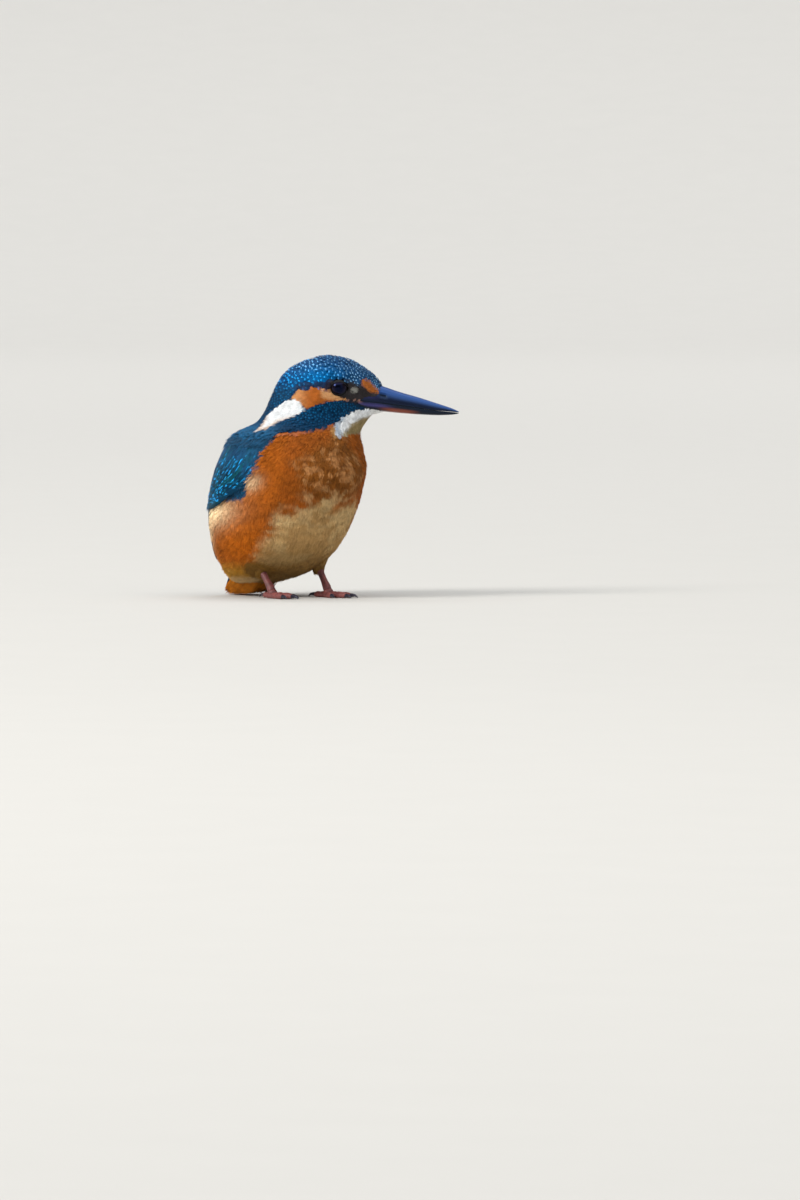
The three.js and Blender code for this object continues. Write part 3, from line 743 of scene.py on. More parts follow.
class Markings:
    """The plumage at places on the bird: its colours, how bright each tip's spot is, and how silky it is.

    Each method lays the colours of one region over those of the methods before it.
    """

    def __init__(self, points, looks):
        self.points, self.looks = points, looks
        self.z = points[:, 2]
        self.bearing = bearing_of(points)
        self.turned = np.abs(self.bearing)
        self.forward, _ = head_place(points)
        self.ragged = (noise(points, 1.7, 3) - 0.5) * 1.5
        self.stray = self.ragged + (noise(points, 0.45, 13) - 0.5) * 1.6
        self.patchy = noise(points, 6, 5)
        self.curls = 1 - np.abs(2 * noise(points, 3.4, 19) - 1)
        self.colours = plain(looks["breast"], len(points))
        self.breast()
        self.belly()
        self.flanks()
        self.thighs()
        self.back()
        self.crown()
        self.face()

    def lay(self, name, mask):
        """Lays one of the looks' colours where a mask says."""
        self.colours = paint(self.colours, mask, self.looks[name])

    def inside(self, outline, loose=1.0):
        """How far places lie inside an outline on the side of the head, whose edge strays a little."""
        return outline_depth(outline, self.forward, self.z) + self.stray * 0.16 * loose

    def breast(self):
        z, patchy = self.z, self.patchy
        self.lay("breast_deep", 0.75 * smooth(0.45, 0.9, patchy))
        bright = smooth(34, 44, z) * smooth(44, 56, self.turned)
        self.lay("flank_bright", 0.8 * bright * smooth(0.2, 0.6, patchy + 0.15))
        off = off_spot(self.bearing, z, DUSKY_PATCH)
        dusky = 1 - smooth(0.72, 1.18, off + (patchy - 0.5) * 0.5)
        self.lay("dusky", 0.85 * dusky)
        self.lay("dusky_dark", 0.55 * dusky * smooth(0.4, 0.15, noise(self.points, 1.9, 7)))
        self.lay("dusky_pale", 0.85 * dusky * smooth(0.74, 0.95, self.curls))

    def belly(self):
        z, turned, patchy = self.z, self.turned, self.patchy
        broad = noise(self.points, 13, 17)
        depth = curve(CREAM_TOP)(turned) - z + (patchy - 0.5) * 10 + (broad - 0.45) * 12 + self.ragged
        self.cream = smooth_mask(depth, 5)
        self.lay("belly", 0.92 * self.cream)
        self.lay("belly_pale", 0.4 * self.cream * smooth(0.5, 0.8, patchy))
        tongues = smooth(0.62, 0.85, self.curls) * smooth_mask(depth + 6, 5) * smooth(12, 0, depth)
        self.lay("belly_pale", 0.5 * tongues)
        # Painted shade: the cream darkens towards the bottom and under the body.
        self.lay("belly_low", self.cream * smooth(26, 12, z) * 0.7)
        shadow = smooth(16, 9, z) * smooth(50, 38, turned)
        self.lay("belly_low", 0.7 * shadow)

    def flanks(self):
        z, turned, patchy = self.z, self.turned, self.patchy
        deep = 1.25 * glow(turned, z, FLANK_DEEP) * (1 - 0.5 * self.cream)
        self.lay("flank_deep", np.clip(deep, 0, 1))
        # Pale fringe below the wing, partly painted highlight.
        pale = sum(strength * glow(turned, z, spot) for strength, spot in FLANK_PALE_HIGHLIGHT)
        self.lay("flank_pale", np.clip(1.1 * pale * smooth(0, 0.4, patchy + 0.2), 0, 1))
        vent = smooth(17, 10, z) * smooth(48, 62, turned)
        self.lay("vent", 0.9 * vent)
        fringe = smooth(9.5, 7, z) * smooth(25, 45, turned)
        self.lay("vent_pale", 0.8 * fringe * smooth(0.25, 0.6, patchy))
        self.lay("undertail", smooth(6.4, 5, z) * smooth(60, 90, turned))

    def thighs(self):
        # Painted shade: the thighs under the body take the shaded buff of the lower belly.
        for hand in LEGS:
            off = np.linalg.norm(leg_place(hand, LEGS[hand]["heel"]) - self.points, axis=1)
            self.lay("belly_low", smooth(9, 6, off) * smooth(18, 14, self.z))

    def back(self):
        z, turned, stray = self.z, self.turned, self.stray
        edge = turned - curve(MANTLE_EDGE)(z) + 2.5 * stray
        self.mantle = smooth_mask(edge, 0.4) * smooth(40, 42, z)
        behind_wing = turned - INNER_EDGE(np.clip(z, WING_FOOT, WING_TOP)) + 20 + 3 * stray
        rear = smooth_mask(behind_wing, 0.6) * smooth(14, 15, z + stray)
        over_floor = z - curve(BLUE_FLOOR)(self.forward) + stray * 0.4
        self.head_blue = smooth_mask(over_floor, 0.12)
        self.blue = np.maximum.reduce([self.mantle, rear, self.head_blue * smooth(57, 60, z)])
        self.lay("mantle", self.blue)
        stripe = smooth(148, 162, turned) * smooth(12, 18, z) * smooth(70, 60, z)
        self.lay("azure_back", stripe)
        self.lay("azure", stripe * 0.7 * smooth(0.5, 0.8, self.patchy))

    def crown(self):
        z, forward = self.z, self.forward
        crown = smooth(70, 77, z) * self.head_blue
        self.lay("crown", crown)
        self.lay("crown_bright", crown * 0.9 * glow(forward, z, CROWN_BRIGHT))
        self.lay("nape", crown * 0.8 * smooth(-3, -14, forward) * smooth(92, 84, z))
        # Painted reflection: the forehead is greyer blue, as the sky's sheen shows there.
        self.lay("forehead", crown * 0.75 * smooth(4, 22, forward) * smooth(84, 90, z))
        malar = self.head_blue * smooth(84.5, 82.5, z) * smooth(-22, -12, forward)
        self.lay("malar", malar)
        self.lay("malar_dark", malar * 0.8 * smooth(6, 18, forward))
        plain_nape = smooth(-4, -10, forward) * smooth(91, 86, z)
        spotted = crown * mix(1.0, 0.22, np.maximum(malar, plain_nape))
        spotted = spotted * mix(0.6, 1.0, smooth(0.3, 0.6, self.patchy))
        self.spot = np.maximum(spotted, self.mantle * 0.08 * (1 - crown))

    def face(self, soft=0.15):
        z, forward = self.z, self.forward
        lores = smooth_mask(self.inside(LORES, 0.6), 0.6)
        self.lay("lores", lores)
        ear = smooth_mask(self.inside(EAR_PATCH), soft)
        self.lay("ear", ear)
        self.lay("ear_pale", ear * smooth(-2, -10, forward) * 0.6)
        self.lay("ear_pale", 0.85 * ear * smooth_mask(self.inside(EAR_PALE), 0.9))
        eye_line = smooth_mask(self.inside(EYE_LINE, 0.5), 0.4)
        self.lay("eye_line", 0.85 * eye_line)

        depth = self.inside(NECK_PATCH, 1.3)
        white = smooth_mask(depth, soft)
        self.lay("white", white)
        self.lay("white_warm", white * (1 - smooth(0.1, 1.9, depth)) * smooth(78, 73, z))

        depth = self.inside(THROAT_PATCH)
        throat = smooth_mask(depth, soft)
        rim = smooth(-2.2, -0.8, depth) * smooth(11, 8, forward) * smooth(72.5, 71, z)
        self.lay("belly", 0.7 * rim)
        self.lay("white", throat)
        # Painted shade: the throat's middle turns olive grey, and the band's lower end bluish grey.
        shade = smooth_mask(self.inside(THROAT_SHADE), 0.8)
        dim = smooth(2.6, 0.6, depth) * smooth(13, 10, forward) * (1 - shade)
        self.lay("white_shade", throat * dim)
        self.lay("throat_shade", 0.95 * throat * shade)

        loral = smooth_mask(self.inside(LORAL_PATCH, 0.5), 0.5)
        self.lay("loral", loral)
        self.lay("pale_spot", 0.85 * (1 - smooth(0.7, 1.15, off_spot(forward, z, PALE_SPOT))))
        mouth = bill_shape(on_bill(forward))[1] - 0.1
        gape = smooth(8, 10, forward) * smooth(0.4, 0.15, np.abs(z - mouth))
        self.lay("gape_skin", 0.7 * gape)

        silky = np.maximum.reduce([ear, white, throat, lores, loral])
        self.spot = self.spot * (1 - silky) * (1 - eye_line)
        self.silky = np.maximum(silky, 1 - self.blue)


def spot_colours(points, looks):
    """The colour of the bright spots: azure, and paler towards the bill and the crown's top, a painted
    reflection of the light from above.
    """
    forward, _ = head_place(points)
    z = points[:, 2]
    colours = paint(plain(looks["azure"], len(points)), 0.5 * smooth(93, 98, z), looks["forehead_spot"])
    return paint(colours, 0.9 * smooth(4, 18, forward) * smooth(84, 89, z), looks["forehead_spot"])


# ---------------------------------------------------------------- feathers


class Pattern:
    """The flat pattern of one feather: rows along it, corners and faces.

    A corner is its row, its place across, its share of the width, 1 on the under face, and how freely it
    strays.
    """

    def __init__(self, rows, corners, faces):
        self.rows = np.array(rows, float)
        corners = np.array(corners, float)
        self.row = corners[:, 0].astype(int)
        self.across, self.width, self.under, self.free = corners[:, 1:].T
        self.far = self.rows[self.row]
        self.loops, self.starts = face_runs(faces)
        self.triangles = len(self.loops) - 2 * len(self.starts)


def sheet_faces(rows, columns):
    """The faces of an open sheet, row by row."""
    steps = [(i * columns + j, (i + 1) * columns + j) for i in range(rows - 1) for j in range(columns - 1)]
    return [(a, b, b + 1, a + 1) for a, b in steps]


def loose_pattern(base, barbs, bend, taper):
    """A feather whose barbs part at its tip: a sheet through base stations, then a pointed strip each."""
    columns = barbs + 1
    offsets = np.linspace(-1, 1, columns)
    rows = [far for far, _ in base]
    corners = [(i, u, width, 0, 0) for i, (_, width) in enumerate(base) for u in offsets]
    faces = sheet_faces(len(base), columns)
    last = (len(base) - 1) * columns
    width = base[-1][1]
    for j in range(barbs):
        middle = (offsets[j] + offsets[j + 1]) / 2
        tip = 1 - taper * middle * middle
        rows += [mix(base[-1][0], tip, bend), tip]
        knee = len(rows) - 2
        corners += [(knee, middle + s * 0.36 / barbs * 2, width, 0, 0.4) for s in (-1, 1)]
        corners.append((knee + 1, middle, width * 0.9, 0, 1))
        k = len(corners) - 3
        faces += [(last + j, k, k + 1, last + j + 1), (k, k + 2, k + 1)]
    return Pattern(rows, corners, faces)


def blade_pattern(stations, columns):
    """A feather as a thin closed blade with an upper and an under face."""
    offsets = np.linspace(-1, 1, columns)
    rows = len(stations)
    widths = [width for _, width in stations]
    corners = [(i, u, width, side, 0) for side in (0, 1) for i, width in enumerate(widths) for u in offsets]

    def at(side, i, j):
        return (side * rows + i) * columns + j

    faces = []
    for i in range(rows - 1):
        for j in range(columns - 1):
            a, b, c, d = (i, j), (i + 1, j), (i + 1, j + 1), (i, j + 1)
            faces.append(tuple(at(0, *p) for p in (a, b, c, d)))
            faces.append(tuple(at(1, *p) for p in (a, d, c, b)))
        faces.append((at(0, i, 0), at(1, i, 0), at(1, i + 1, 0), at(0, i + 1, 0)))
        end = columns - 1
        faces.append((at(0, i + 1, end), at(1, i + 1, end), at(1, i, end), at(0, i, end)))
    for j in range(columns - 1):
        faces.append((at(0, 0, j + 1), at(1, 0, j + 1), at(1, 0, j), at(0, 0, j)))
        end = rows - 1
        faces.append((at(0, end, j), at(1, end, j), at(1, end, j + 1), at(0, end, j + 1)))
    return Pattern([far for far, _ in stations], corners, faces)


SCALE_LIKE = loose_pattern([(0, 0.6), (0.4, 0.95), (0.68, 1)], 6, 0.5, 0.38)
SOFT = loose_pattern([(0, 0.6), (0.52, 1)], 8, 0.45, 0.18)
SILK = loose_pattern([(0, 0.6), (0.5, 1)], 5, 0.45, 0.3)
BLADE_WIDTHS = [
    (0, 0.5), (0.15, 0.75), (0.35, 0.95), (0.55, 1), (0.72, 0.95), (0.85, 0.8), (0.93, 0.58), (0.98, 0.34),
    (1, 0.12),
]
BLADE = blade_pattern(BLADE_WIDTHS, 7)
BARB_STRAY = np.array([0.45, 0.22, 0.3])  # how far loose barbs stray across, along and out
BAKE_PATCH = 0.003  # the size of one feather on the unwrapped skin


class Feathers:
    """Feathers of one pattern that are gathered for one object."""

    def __init__(self, pattern, seed):
        self.pattern = pattern
        self.random = np.random.default_rng(seed)
        self.parts = []

    def add(self, line, normal, half, crown, roll, thick, tones, spot, spot_tone, roots, edge=None):
        """Feathers along lines of places, one line each, with the normals there, half-widths and colours.

        tones holds the colours at root, middle and tip, and edge the colour of both edges. roots are the
        places of the roots on the unwrapped skin.
        """
        pattern = self.pattern
        order = np.argsort(pattern.rows, kind="stable")
        shaft = np.empty_like(line)
        shaft[:, order] = np.gradient(line[:, order], axis=1)
        shaft = unit(shaft)
        side = unit(np.cross(normal, shaft))
        up = np.cross(shaft, side)
        turn = np.radians(np.broadcast_to(roll, len(line)))[:, None, None]
        side, up = side * np.cos(turn) + up * np.sin(turn), up * np.cos(turn) - side * np.sin(turn)
        half = np.asarray(half)[:, None]
        row = pattern.row
        stray = (self.random.random((3, len(line), len(row))) - 0.5) * pattern.free
        across, along, out = stray * BARB_STRAY[:, None, None]
        offset = half * (pattern.across * pattern.width + across)
        high = crown * half * (pattern.width * (1 - pattern.across ** 2))[None] - thick * pattern.under[None]
        high = high + out * half
        length = np.linalg.norm(line[:, order[-1]] - line[:, 0], axis=1)[:, None]
        points = line[:, row] + side[:, row] * offset[..., None] + up[:, row] * high[..., None]
        points = points + shaft[:, row] * (along * length)[..., None]
        points[..., 2] = np.maximum(points[..., 2], FLOOR_GAP)
        far = pattern.far[None, :, None]
        root, middle, tip = (np.asarray(tone)[:, None] for tone in tones)
        colours = mix(mix(root, middle, smooth(0.05, 0.5, far)), tip, smooth(0.75, 1, far))
        if edge is not None:
            rim = smooth(0.62, 1, np.abs(pattern.across))[None, :, None]
            colours = mix(colours, np.asarray(edge)[:, None], rim)
        flicker = 1 + 0.1 * (self.random.random((len(line), len(row), 1)) - 0.5)
        local = np.stack([0.5 + 0.5 * pattern.across * pattern.width, pattern.far], -1)
        patch = roots[:, None] + (local - 0.5) * BAKE_PATCH
        ones = np.ones((len(line), len(row)))
        self.parts.append({
            "points": points,
            "colours": colours * flicker,
            "spot": ones * np.asarray(spot)[:, None],
            "spot_tone": ones[..., None] * np.asarray(spot_tone)[:, None],
            "vane": np.broadcast_to(local, patch.shape),
            "patch": patch,
        })

    def build(self, name, material):
        pattern = self.pattern
        whole = {key: np.concatenate([part[key] for part in self.parts]) for key in self.parts[0]}
        count, corners = whole["points"].shape[:2]
        steps = np.arange(count)[:, None]
        loops = (pattern.loops[None] + corners * steps).ravel()
        starts = (pattern.starts[None] + len(pattern.loops) * steps).ravel()
        made = mesh_object(name, whole["points"].reshape(-1, 3), loops, starts, material)
        paint_points(made, "Plumage", whole["colours"].reshape(-1, 3))
        paint_points(made, "SpotTone", whole["spot_tone"].reshape(-1, 3))
        give_numbers(made, "Spot", whole["spot"].ravel())
        give_uv(made, "OFBake", whole["patch"].reshape(-1, 2))
        give_uv(made, "Vane", whole["vane"].reshape(-1, 2))
        print(f"{name}: {count} feathers, {count * pattern.triangles} triangles")
        return made


def unwrapped(points):
    """Where places lie on the unwrapped skin, with its height up and its bearing across."""
    across = (bearing_of(points) + 180) / 360
    up = (points[:, 2] - LOWEST) / (HIGHEST + 1 - LOWEST)
    return 0.01 + 0.98 * np.stack([across, np.clip(up, 0, 1)], -1)


def coat_sizes(points, silky):
    """Length, half-width, spacing, depth and fluff of the small feathers at places on the bird."""
    z = points[:, 2]
    forward, _ = head_place(points)
    head, face, beak = smooth(*NECK_Z, z), smooth(2, 14, forward), smooth(14, 23, forward)
    flank = smooth(45, 75, np.abs(bearing_of(points))) * smooth(50, 40, z) * smooth(8, 16, z)
    vent = smooth(14, 8, z)
    cheek = smooth(88, 83, z) * smooth(68, 72, z)

    def size(body, side, crown, fore, silk, front, horn):
        scaly = mix(mix(crown, fore, face), 0.75 * fore, beak)
        soft = mix(mix(silk, front, face), horn, beak)
        return mix(mix(body, side, flank), mix(scaly, soft, silky), head)

    length = mix(size(5.6, 7.5, 3.9, 2.9, 3.2, 2.1, 1.3), 6.5, vent)
    crown, fore, silk = mix(1.3, 0.92, cheek), mix(1.0, 0.8, cheek), mix(0.72, 0.58, cheek)
    half = size(1.3, 1.45, crown, fore, silk, 0.6, 0.4)
    crown, fore, silk = mix(1.52, 1.1, cheek), mix(1.2, 0.96, cheek), mix(0.64, 0.55, cheek)
    spacing = size(0.98, 1.05, crown, fore, silk, 0.66, 0.45)
    depth = size(1.9, 2.2, 1.0, 0.7, 0.9, 0.6, 0.35)
    fluff = mix(size(0.4, 1.2, 0.05, 0.03, 0.1, 0.04, 0.0), 0.8, vent)
    return length, half, spacing, depth, fluff


def bare(points, reach=0.0):
    """Where no feather grows: on the eyes and on the horn of the bill."""
    forward, _ = head_place(points)
    z = points[:, 2]
    off_eyes = [np.linalg.norm(points - eye, axis=1) for eye in EYES.values()]
    on_eye = np.min(off_eyes, axis=0) < EYE["radius"] - 0.2 + reach
    edge = np.interp(z, *np.array(HORN_EDGE).T)
    return on_eye | ((forward > edge - reach) & (z > CHIN_Z))


def buried(points):
    """Where a surface that carries feathers runs inside another one."""
    c, s, _ = slice_shares(points)
    inside = (np.hypot(c, s) < 0.985) & (points[:, 2] > LOWEST + 0.1) & (points[:, 2] < HIGHEST - 0.1)
    forward, left = head_place(points)
    culmen, mouth, keel, half = bill_shape(on_bill(forward))
    rise = points[:, 2] - mouth
    tall = np.where(rise > 0, culmen - mouth, mouth - keel)
    in_bill = (forward > BILL[0][0]) & (np.hypot(left / half, rise / tall) < 1)
    return inside | in_bill


def all_roots(looks):
    """Every root of the coat, and its normal."""

    def spacing(points):
        silky = Markings(points, looks).silky
        hidden = (wing_depth(points) > 2.5) | (points[:, 2] < LOWEST - 0.2)
        return np.where(hidden | bare(points) | buried(points), 0, coat_sizes(points, silky)[2])

    return SURFACE.scatter(spacing)


def lay_coat(name, pattern, roots, normals, looks, material, slot):
    """One piece of the coat: feathers of one pattern over a part of the bird."""
    random = np.random.default_rng(SEED + len(roots))
    count = len(roots)
    silky = Markings(roots, looks).silky
    length, half, _, depth, fluff = coat_sizes(roots, silky)
    length = length * (0.82 + 0.36 * random.random(count))
    half = half * (0.9 + 0.2 * random.random(count))
    way = lie(roots, normals)
    body = 1 - smooth(*NECK_Z, roots[:, 2])
    swirl = (noise(roots, 7, 11) - 0.5) * 44 * body + (random.random(count) - 0.5) * mix(8, 16, body)
    turn = np.radians(swirl)[:, None]
    way = way * np.cos(turn) + np.cross(normals, way) * np.sin(turn)
    back = np.where(bare(roots - way * (length * 0.4)[:, None], 0.1), 0.0, 0.4)
    start = roots - way * (length * back)[:, None]
    tips, tip_normals = SURFACE.nearest(start + way * length[:, None])
    start, start_normals = SURFACE.nearest(start)
    over = wing_depth(tips)
    high_up = smooth(30, 42, tips[:, 2])
    good = ~bare(tips) & ~bare(mix(start, tips, 0.6)) & (dot(start_normals, tip_normals) > 0.2)
    good &= (over < 4.5) | (high_up < 0.5)
    parts = (start, tips, start_normals, tip_normals, way, length, half, depth, fluff, over, high_up)
    parts = (part[good] for part in parts)
    start, tips, start_normals, tip_normals, way, length, half, depth, fluff, over, high_up = parts
    way = unit(way - start_normals * dot(way, start_normals)[:, None])

    far = pattern.rows[None, :, None]
    reach = way * length[:, None]
    line = start[:, None] + reach[:, None] * far + (tips - start - reach)[:, None] * far ** 2
    normal = unit(mix(start_normals[:, None], tip_normals[:, None], far))
    count = len(start)
    fluffed = fluff * (0.1 + 0.9 * random.random(count) ** 2)
    over_wing = (1.45 + 0.45 * random.random(count)) * smooth(-7, 0.5, over) * high_up
    rows = pattern.rows[None]
    high = -depth[:, None] * (1 - rows) ** 1.6 + fluffed[:, None] * rows ** 2
    high = high + over_wing[:, None] * rows ** 0.9
    line = line + normal * high[..., None]

    shown = mix(start, tips, 0.8)
    marks = Markings(shown, looks)
    tone = marks.colours * (0.92 + 0.16 * random.random((count, 1)))
    tip_tone = np.clip(tone * (0.95 + 0.2 * random.random((count, 1))), 0, 1)
    feathers = Feathers(pattern, SEED)
    roll = 14 * (random.random(count) - 0.5)
    root_tone = tone * mix(0.62, 0.9, smooth(0.2, 0.7, tone.mean(axis=1, keepdims=True)))
    tones = (root_tone, tone, tip_tone)
    spot_tone = spot_colours(shown, looks)
    feathers.add(line, normal, half, COAT_CROWN, roll, 0, tones, marks.spot, spot_tone, unwrapped(start))
    return finish_piece(feathers.build(name, material), slot)


# ---------------------------------------------------------------- materials

# The blue is made by the feathers' fine structure, which tints their gloss too.
BLUE_GLOSS = (0.08, 0.5, 1.0)
WARM_GLOSS = (1.0, 0.76, 0.46)
BARB_SLANT = -0.9  # how far the barbs run back along the feather, for each share of its width
SHAFT = {1: 0.018, 2: 0.034}  # the shaft's edge, as shares of the width, for a Map Range's first two limits
CLOUDS = {1: 0.3, 2: 0.7}  # the values that most of a noise texture has, for the same two limits


def add_node(tree, kind, inputs=None, output=0, **settings):
    """Adds a node with its settings, gives its inputs values or links, and returns one of its outputs."""
    made = tree.nodes.new(kind)
    for key, value in settings.items():
        setattr(made, key, value)
    for key, value in (inputs or {}).items():
        if isinstance(value, bpy.types.NodeSocket):
            tree.links.new(value, made.inputs[key])
        else:
            made.inputs[key].default_value = value
    return made.outputs[output] if made.outputs else None


def new_material(name):
    """A new empty material, and add_node for its tree."""
    made = bpy.data.materials.new(name)
    made.use_nodes = True
    made.node_tree.nodes.clear()
    return made, partial(add_node, made.node_tree)


def close_material(made, add, inputs):
    """Ends a material's tree with its surface, and returns the material."""
    surface = add("ShaderNodeBsdfPrincipled", inputs, "BSDF")
    add("ShaderNodeOutputMaterial", {"Surface": surface})
    return made


def feather_material(name, barbs, contrast, roughness, sheen, gloss, gloss_tint, bar, shaft=1.0):
    """Feather keratin. Barbs run out from the shaft in fine slanted lines, drawn coarser than the real tenth
    of a millimetre so that they show, and give the eye a silky grain. The bright tip lies over them.

    bar holds the places along the feather where the bright tip starts and ends, and its half-width, as
    shares of the vane's length and width. shaft is how bright the shaft is beside the vane.
    """
    made, add = new_material(name)
    split = add("ShaderNodeSeparateXYZ", {0: add("ShaderNodeUVMap", uv_map="Vane")}).node.outputs
    across = add("ShaderNodeMath", {0: split["X"], 1: 0.5}, operation="SUBTRACT")
    off_shaft = add("ShaderNodeMath", {0: across}, operation="ABSOLUTE")
    slant = add("ShaderNodeMath", {0: off_shaft, 1: BARB_SLANT}, operation="MULTIPLY")
    along = add("ShaderNodeMath", {0: split["Y"], 1: slant}, operation="ADD")
    waves = add("ShaderNodeMath", {0: along, 1: barbs * 2 * math.pi}, operation="MULTIPLY")
    ripple = add("ShaderNodeMath", {0: waves}, operation="SINE")
    grain = add("ShaderNodeMapRange", {0: ripple, 1: -1.0, 2: 1.0, 3: 1 - contrast, 4: 1 + contrast * 0.6})
    space = add("ShaderNodeTexCoord", output="Object")
    mottle = add("ShaderNodeTexNoise", {"Vector": space, "Scale": 420.0, "Detail": 2.0})
    drift = add("ShaderNodeMapRange", {0: mottle, **CLOUDS, 3: 0.82, 4: 1.16})
    gain = add("ShaderNodeMath", {0: grain, 1: drift}, operation="MULTIPLY")
    quill = add("ShaderNodeMapRange", {0: off_shaft, **SHAFT, 3: shaft, 4: 1.0})
    gain = add("ShaderNodeMath", {0: gain, 1: quill}, operation="MULTIPLY")
    tone = add("ShaderNodeAttribute", attribute_name="Plumage")
    vane = add("ShaderNodeVectorMath", {0: tone, "Scale": gain}, operation="SCALE")

    low, high, wide = bar
    reach = (high - low) / 2
    lengthwise = add("ShaderNodeMath", {0: split["Y"], 1: low + reach}, operation="SUBTRACT")
    lengthwise = add("ShaderNodeMath", {0: lengthwise, 1: reach}, operation="DIVIDE")
    sideways = add("ShaderNodeMath", {0: across, 1: wide}, operation="DIVIDE")
    drop = add("ShaderNodeCombineXYZ", {0: lengthwise, 1: sideways})
    drop = add("ShaderNodeVectorMath", {0: drop}, "Value", operation="LENGTH")
    drop = {0: drop, 1: 0.6, 2: 1.25, 3: 1.0, 4: 0.0}
    drop = add("ShaderNodeMapRange", drop, interpolation_type="SMOOTHSTEP")
    spot = add("ShaderNodeAttribute", output="Fac", attribute_name="Spot")
    shown = add("ShaderNodeMath", {0: drop, 1: spot}, operation="MULTIPLY")
    spot_tone = add("ShaderNodeAttribute", attribute_name="SpotTone")
    return close_material(made, add, {
        "Base Color": add("ShaderNodeMix", {0: shown, 6: vane, 7: spot_tone}, 2, data_type="RGBA"),
        "Roughness": roughness,
        "Normal": add("ShaderNodeBump", {"Height": ripple, "Strength": 0.25, "Distance": 0.04 * MM}),
        "Sheen Weight": sheen,
        "Sheen Roughness": 0.45,
        "Sheen Tint": (*gloss_tint, 1),
        "Specular IOR Level": gloss,
        "Specular Tint": (*gloss_tint, 1),
        "IOR": 1.54,
    })


def quill_material(name):
    """The stiff feathers of wing and tail, with fine barbs and a dark shaft."""
    return feather_material(name, 34, 0.34, 0.5, 0.0, 0.25, BLUE_GLOSS, (0.8, 0.93, 0.14), 0.35)


def skin_material():
    """Bird skin under down: matte, with the down's soft mottle, in the colours of the coat above it."""
    made, add = new_material("downy_skin")
    space = add("ShaderNodeTexCoord", output="Object")
    down = add("ShaderNodeTexNoise", {"Vector": space, "Scale": 900.0, "Detail": 3.0})
    gain = add("ShaderNodeMapRange", {0: down, **CLOUDS, 3: 0.35, 4: 0.6})
    tone = add("ShaderNodeAttribute", attribute_name="Plumage")
    return close_material(made, add, {
        "Base Color": add("ShaderNodeVectorMath", {0: tone, "Scale": gain}, operation="SCALE"),
        "Roughness": 0.85,
        "Normal": add("ShaderNodeBump", {"Height": down, "Strength": 0.6, "Distance": 0.2 * MM}),
    })


def horn_material(name, roughness, scratch, tint):
    """Keratin of bill and claws, worn smooth: fine lengthwise streaks and a satin shine."""
    made, add = new_material(name)
    grown = {"Vector": add("ShaderNodeUVMap", uv_map="Grain"), "Scale": (3.0, 60.0, 1.0)}
    grown = add("ShaderNodeMapping", grown)
    streaks = add("ShaderNodeTexNoise", {"Vector": grown, "Scale": 1.0, "Detail": 4.0})
    gain = add("ShaderNodeMapRange", {0: streaks, **CLOUDS, 3: 0.8, 4: 1.2})
    tone = add("ShaderNodeAttribute", attribute_name="Horn")
    worn = {0: streaks, **CLOUDS, 3: roughness - 0.05, 4: roughness + 0.08}
    return close_material(made, add, {
        "Base Color": add("ShaderNodeVectorMath", {0: tone, "Scale": gain}, operation="SCALE"),
        "Roughness": add("ShaderNodeMapRange", worn),
        "Normal": add("ShaderNodeBump", {"Height": streaks, "Strength": scratch, "Distance": 0.06 * MM}),
        "IOR": 1.56,
        "Specular IOR Level": 0.33,
        "Specular Tint": (*tint, 1),
    })


def eye_material():
    """The wet cornea over a near-black iris: a deep tone under a clear sharp gloss."""
    made, add = new_material("wet_cornea")
    return close_material(made, add, {
        "Base Color": add("ShaderNodeAttribute", attribute_name="Iris"),
        "Roughness": 0.09,
        "IOR": 1.42,
        "Specular IOR Level": 0.4,
        "Specular Tint": (0.2, 0.3, 0.95, 1),
    })


def lid_material(colour):
    """Bare skin of the lids: fine beads, dark and a little moist."""
    made, add = new_material("beaded_lid_skin")
    space = add("ShaderNodeTexCoord", output="Object")
    beads = add("ShaderNodeTexVoronoi", {"Vector": space, "Scale": 3000.0}, "Distance")
    bright, dark = ((*[gain * part for part in colour], 1) for gain in (1.7, 0.6))
    bump = {"Height": beads, "Strength": 0.7, "Distance": 0.1 * MM}
    return close_material(made, add, {
        "Base Color": add("ShaderNodeMix", {0: beads, 6: bright, 7: dark}, 2, data_type="RGBA"),
        "Roughness": 0.55,
        "Normal": add("ShaderNodeBump", bump, invert=True),
        "Specular IOR Level": 0.2,
    })


def foot_material():
    """Dry scaly skin of legs and toes: small scales with darker creases."""
    made, add = new_material("scaly_foot_skin")
    space = add("ShaderNodeTexCoord", output="Object")
    cells = {"Vector": space, "Scale": 1500.0}
    cells = add("ShaderNodeTexVoronoi", cells, "Distance", feature="DISTANCE_TO_EDGE")
    plate = add("ShaderNodeMapRange", {0: cells, 1: 0.0, 2: 0.12, 3: 0.5, 4: 1.0})
    cloud = add("ShaderNodeTexNoise", {"Vector": space, "Scale": 500.0, "Detail": 3.0})
    drift = add("ShaderNodeMapRange", {0: cloud, **CLOUDS, 3: 0.75, 4: 1.25})
    gain = add("ShaderNodeMath", {0: plate, 1: drift}, operation="MULTIPLY")
    tone = add("ShaderNodeAttribute", attribute_name="Foot")
    return close_material(made, add, {
        "Base Color": add("ShaderNodeVectorMath", {0: tone, "Scale": gain}, operation="SCALE"),
        "Roughness": 0.5,
        "Normal": add("ShaderNodeBump", {"Height": plate, "Strength": 0.5, "Distance": 0.1 * MM}),
        "Subsurface Weight": 0.08,
        "Subsurface Radius": (1.0, 0.3, 0.2),
        "Subsurface Scale": 0.6 * MM,
    })


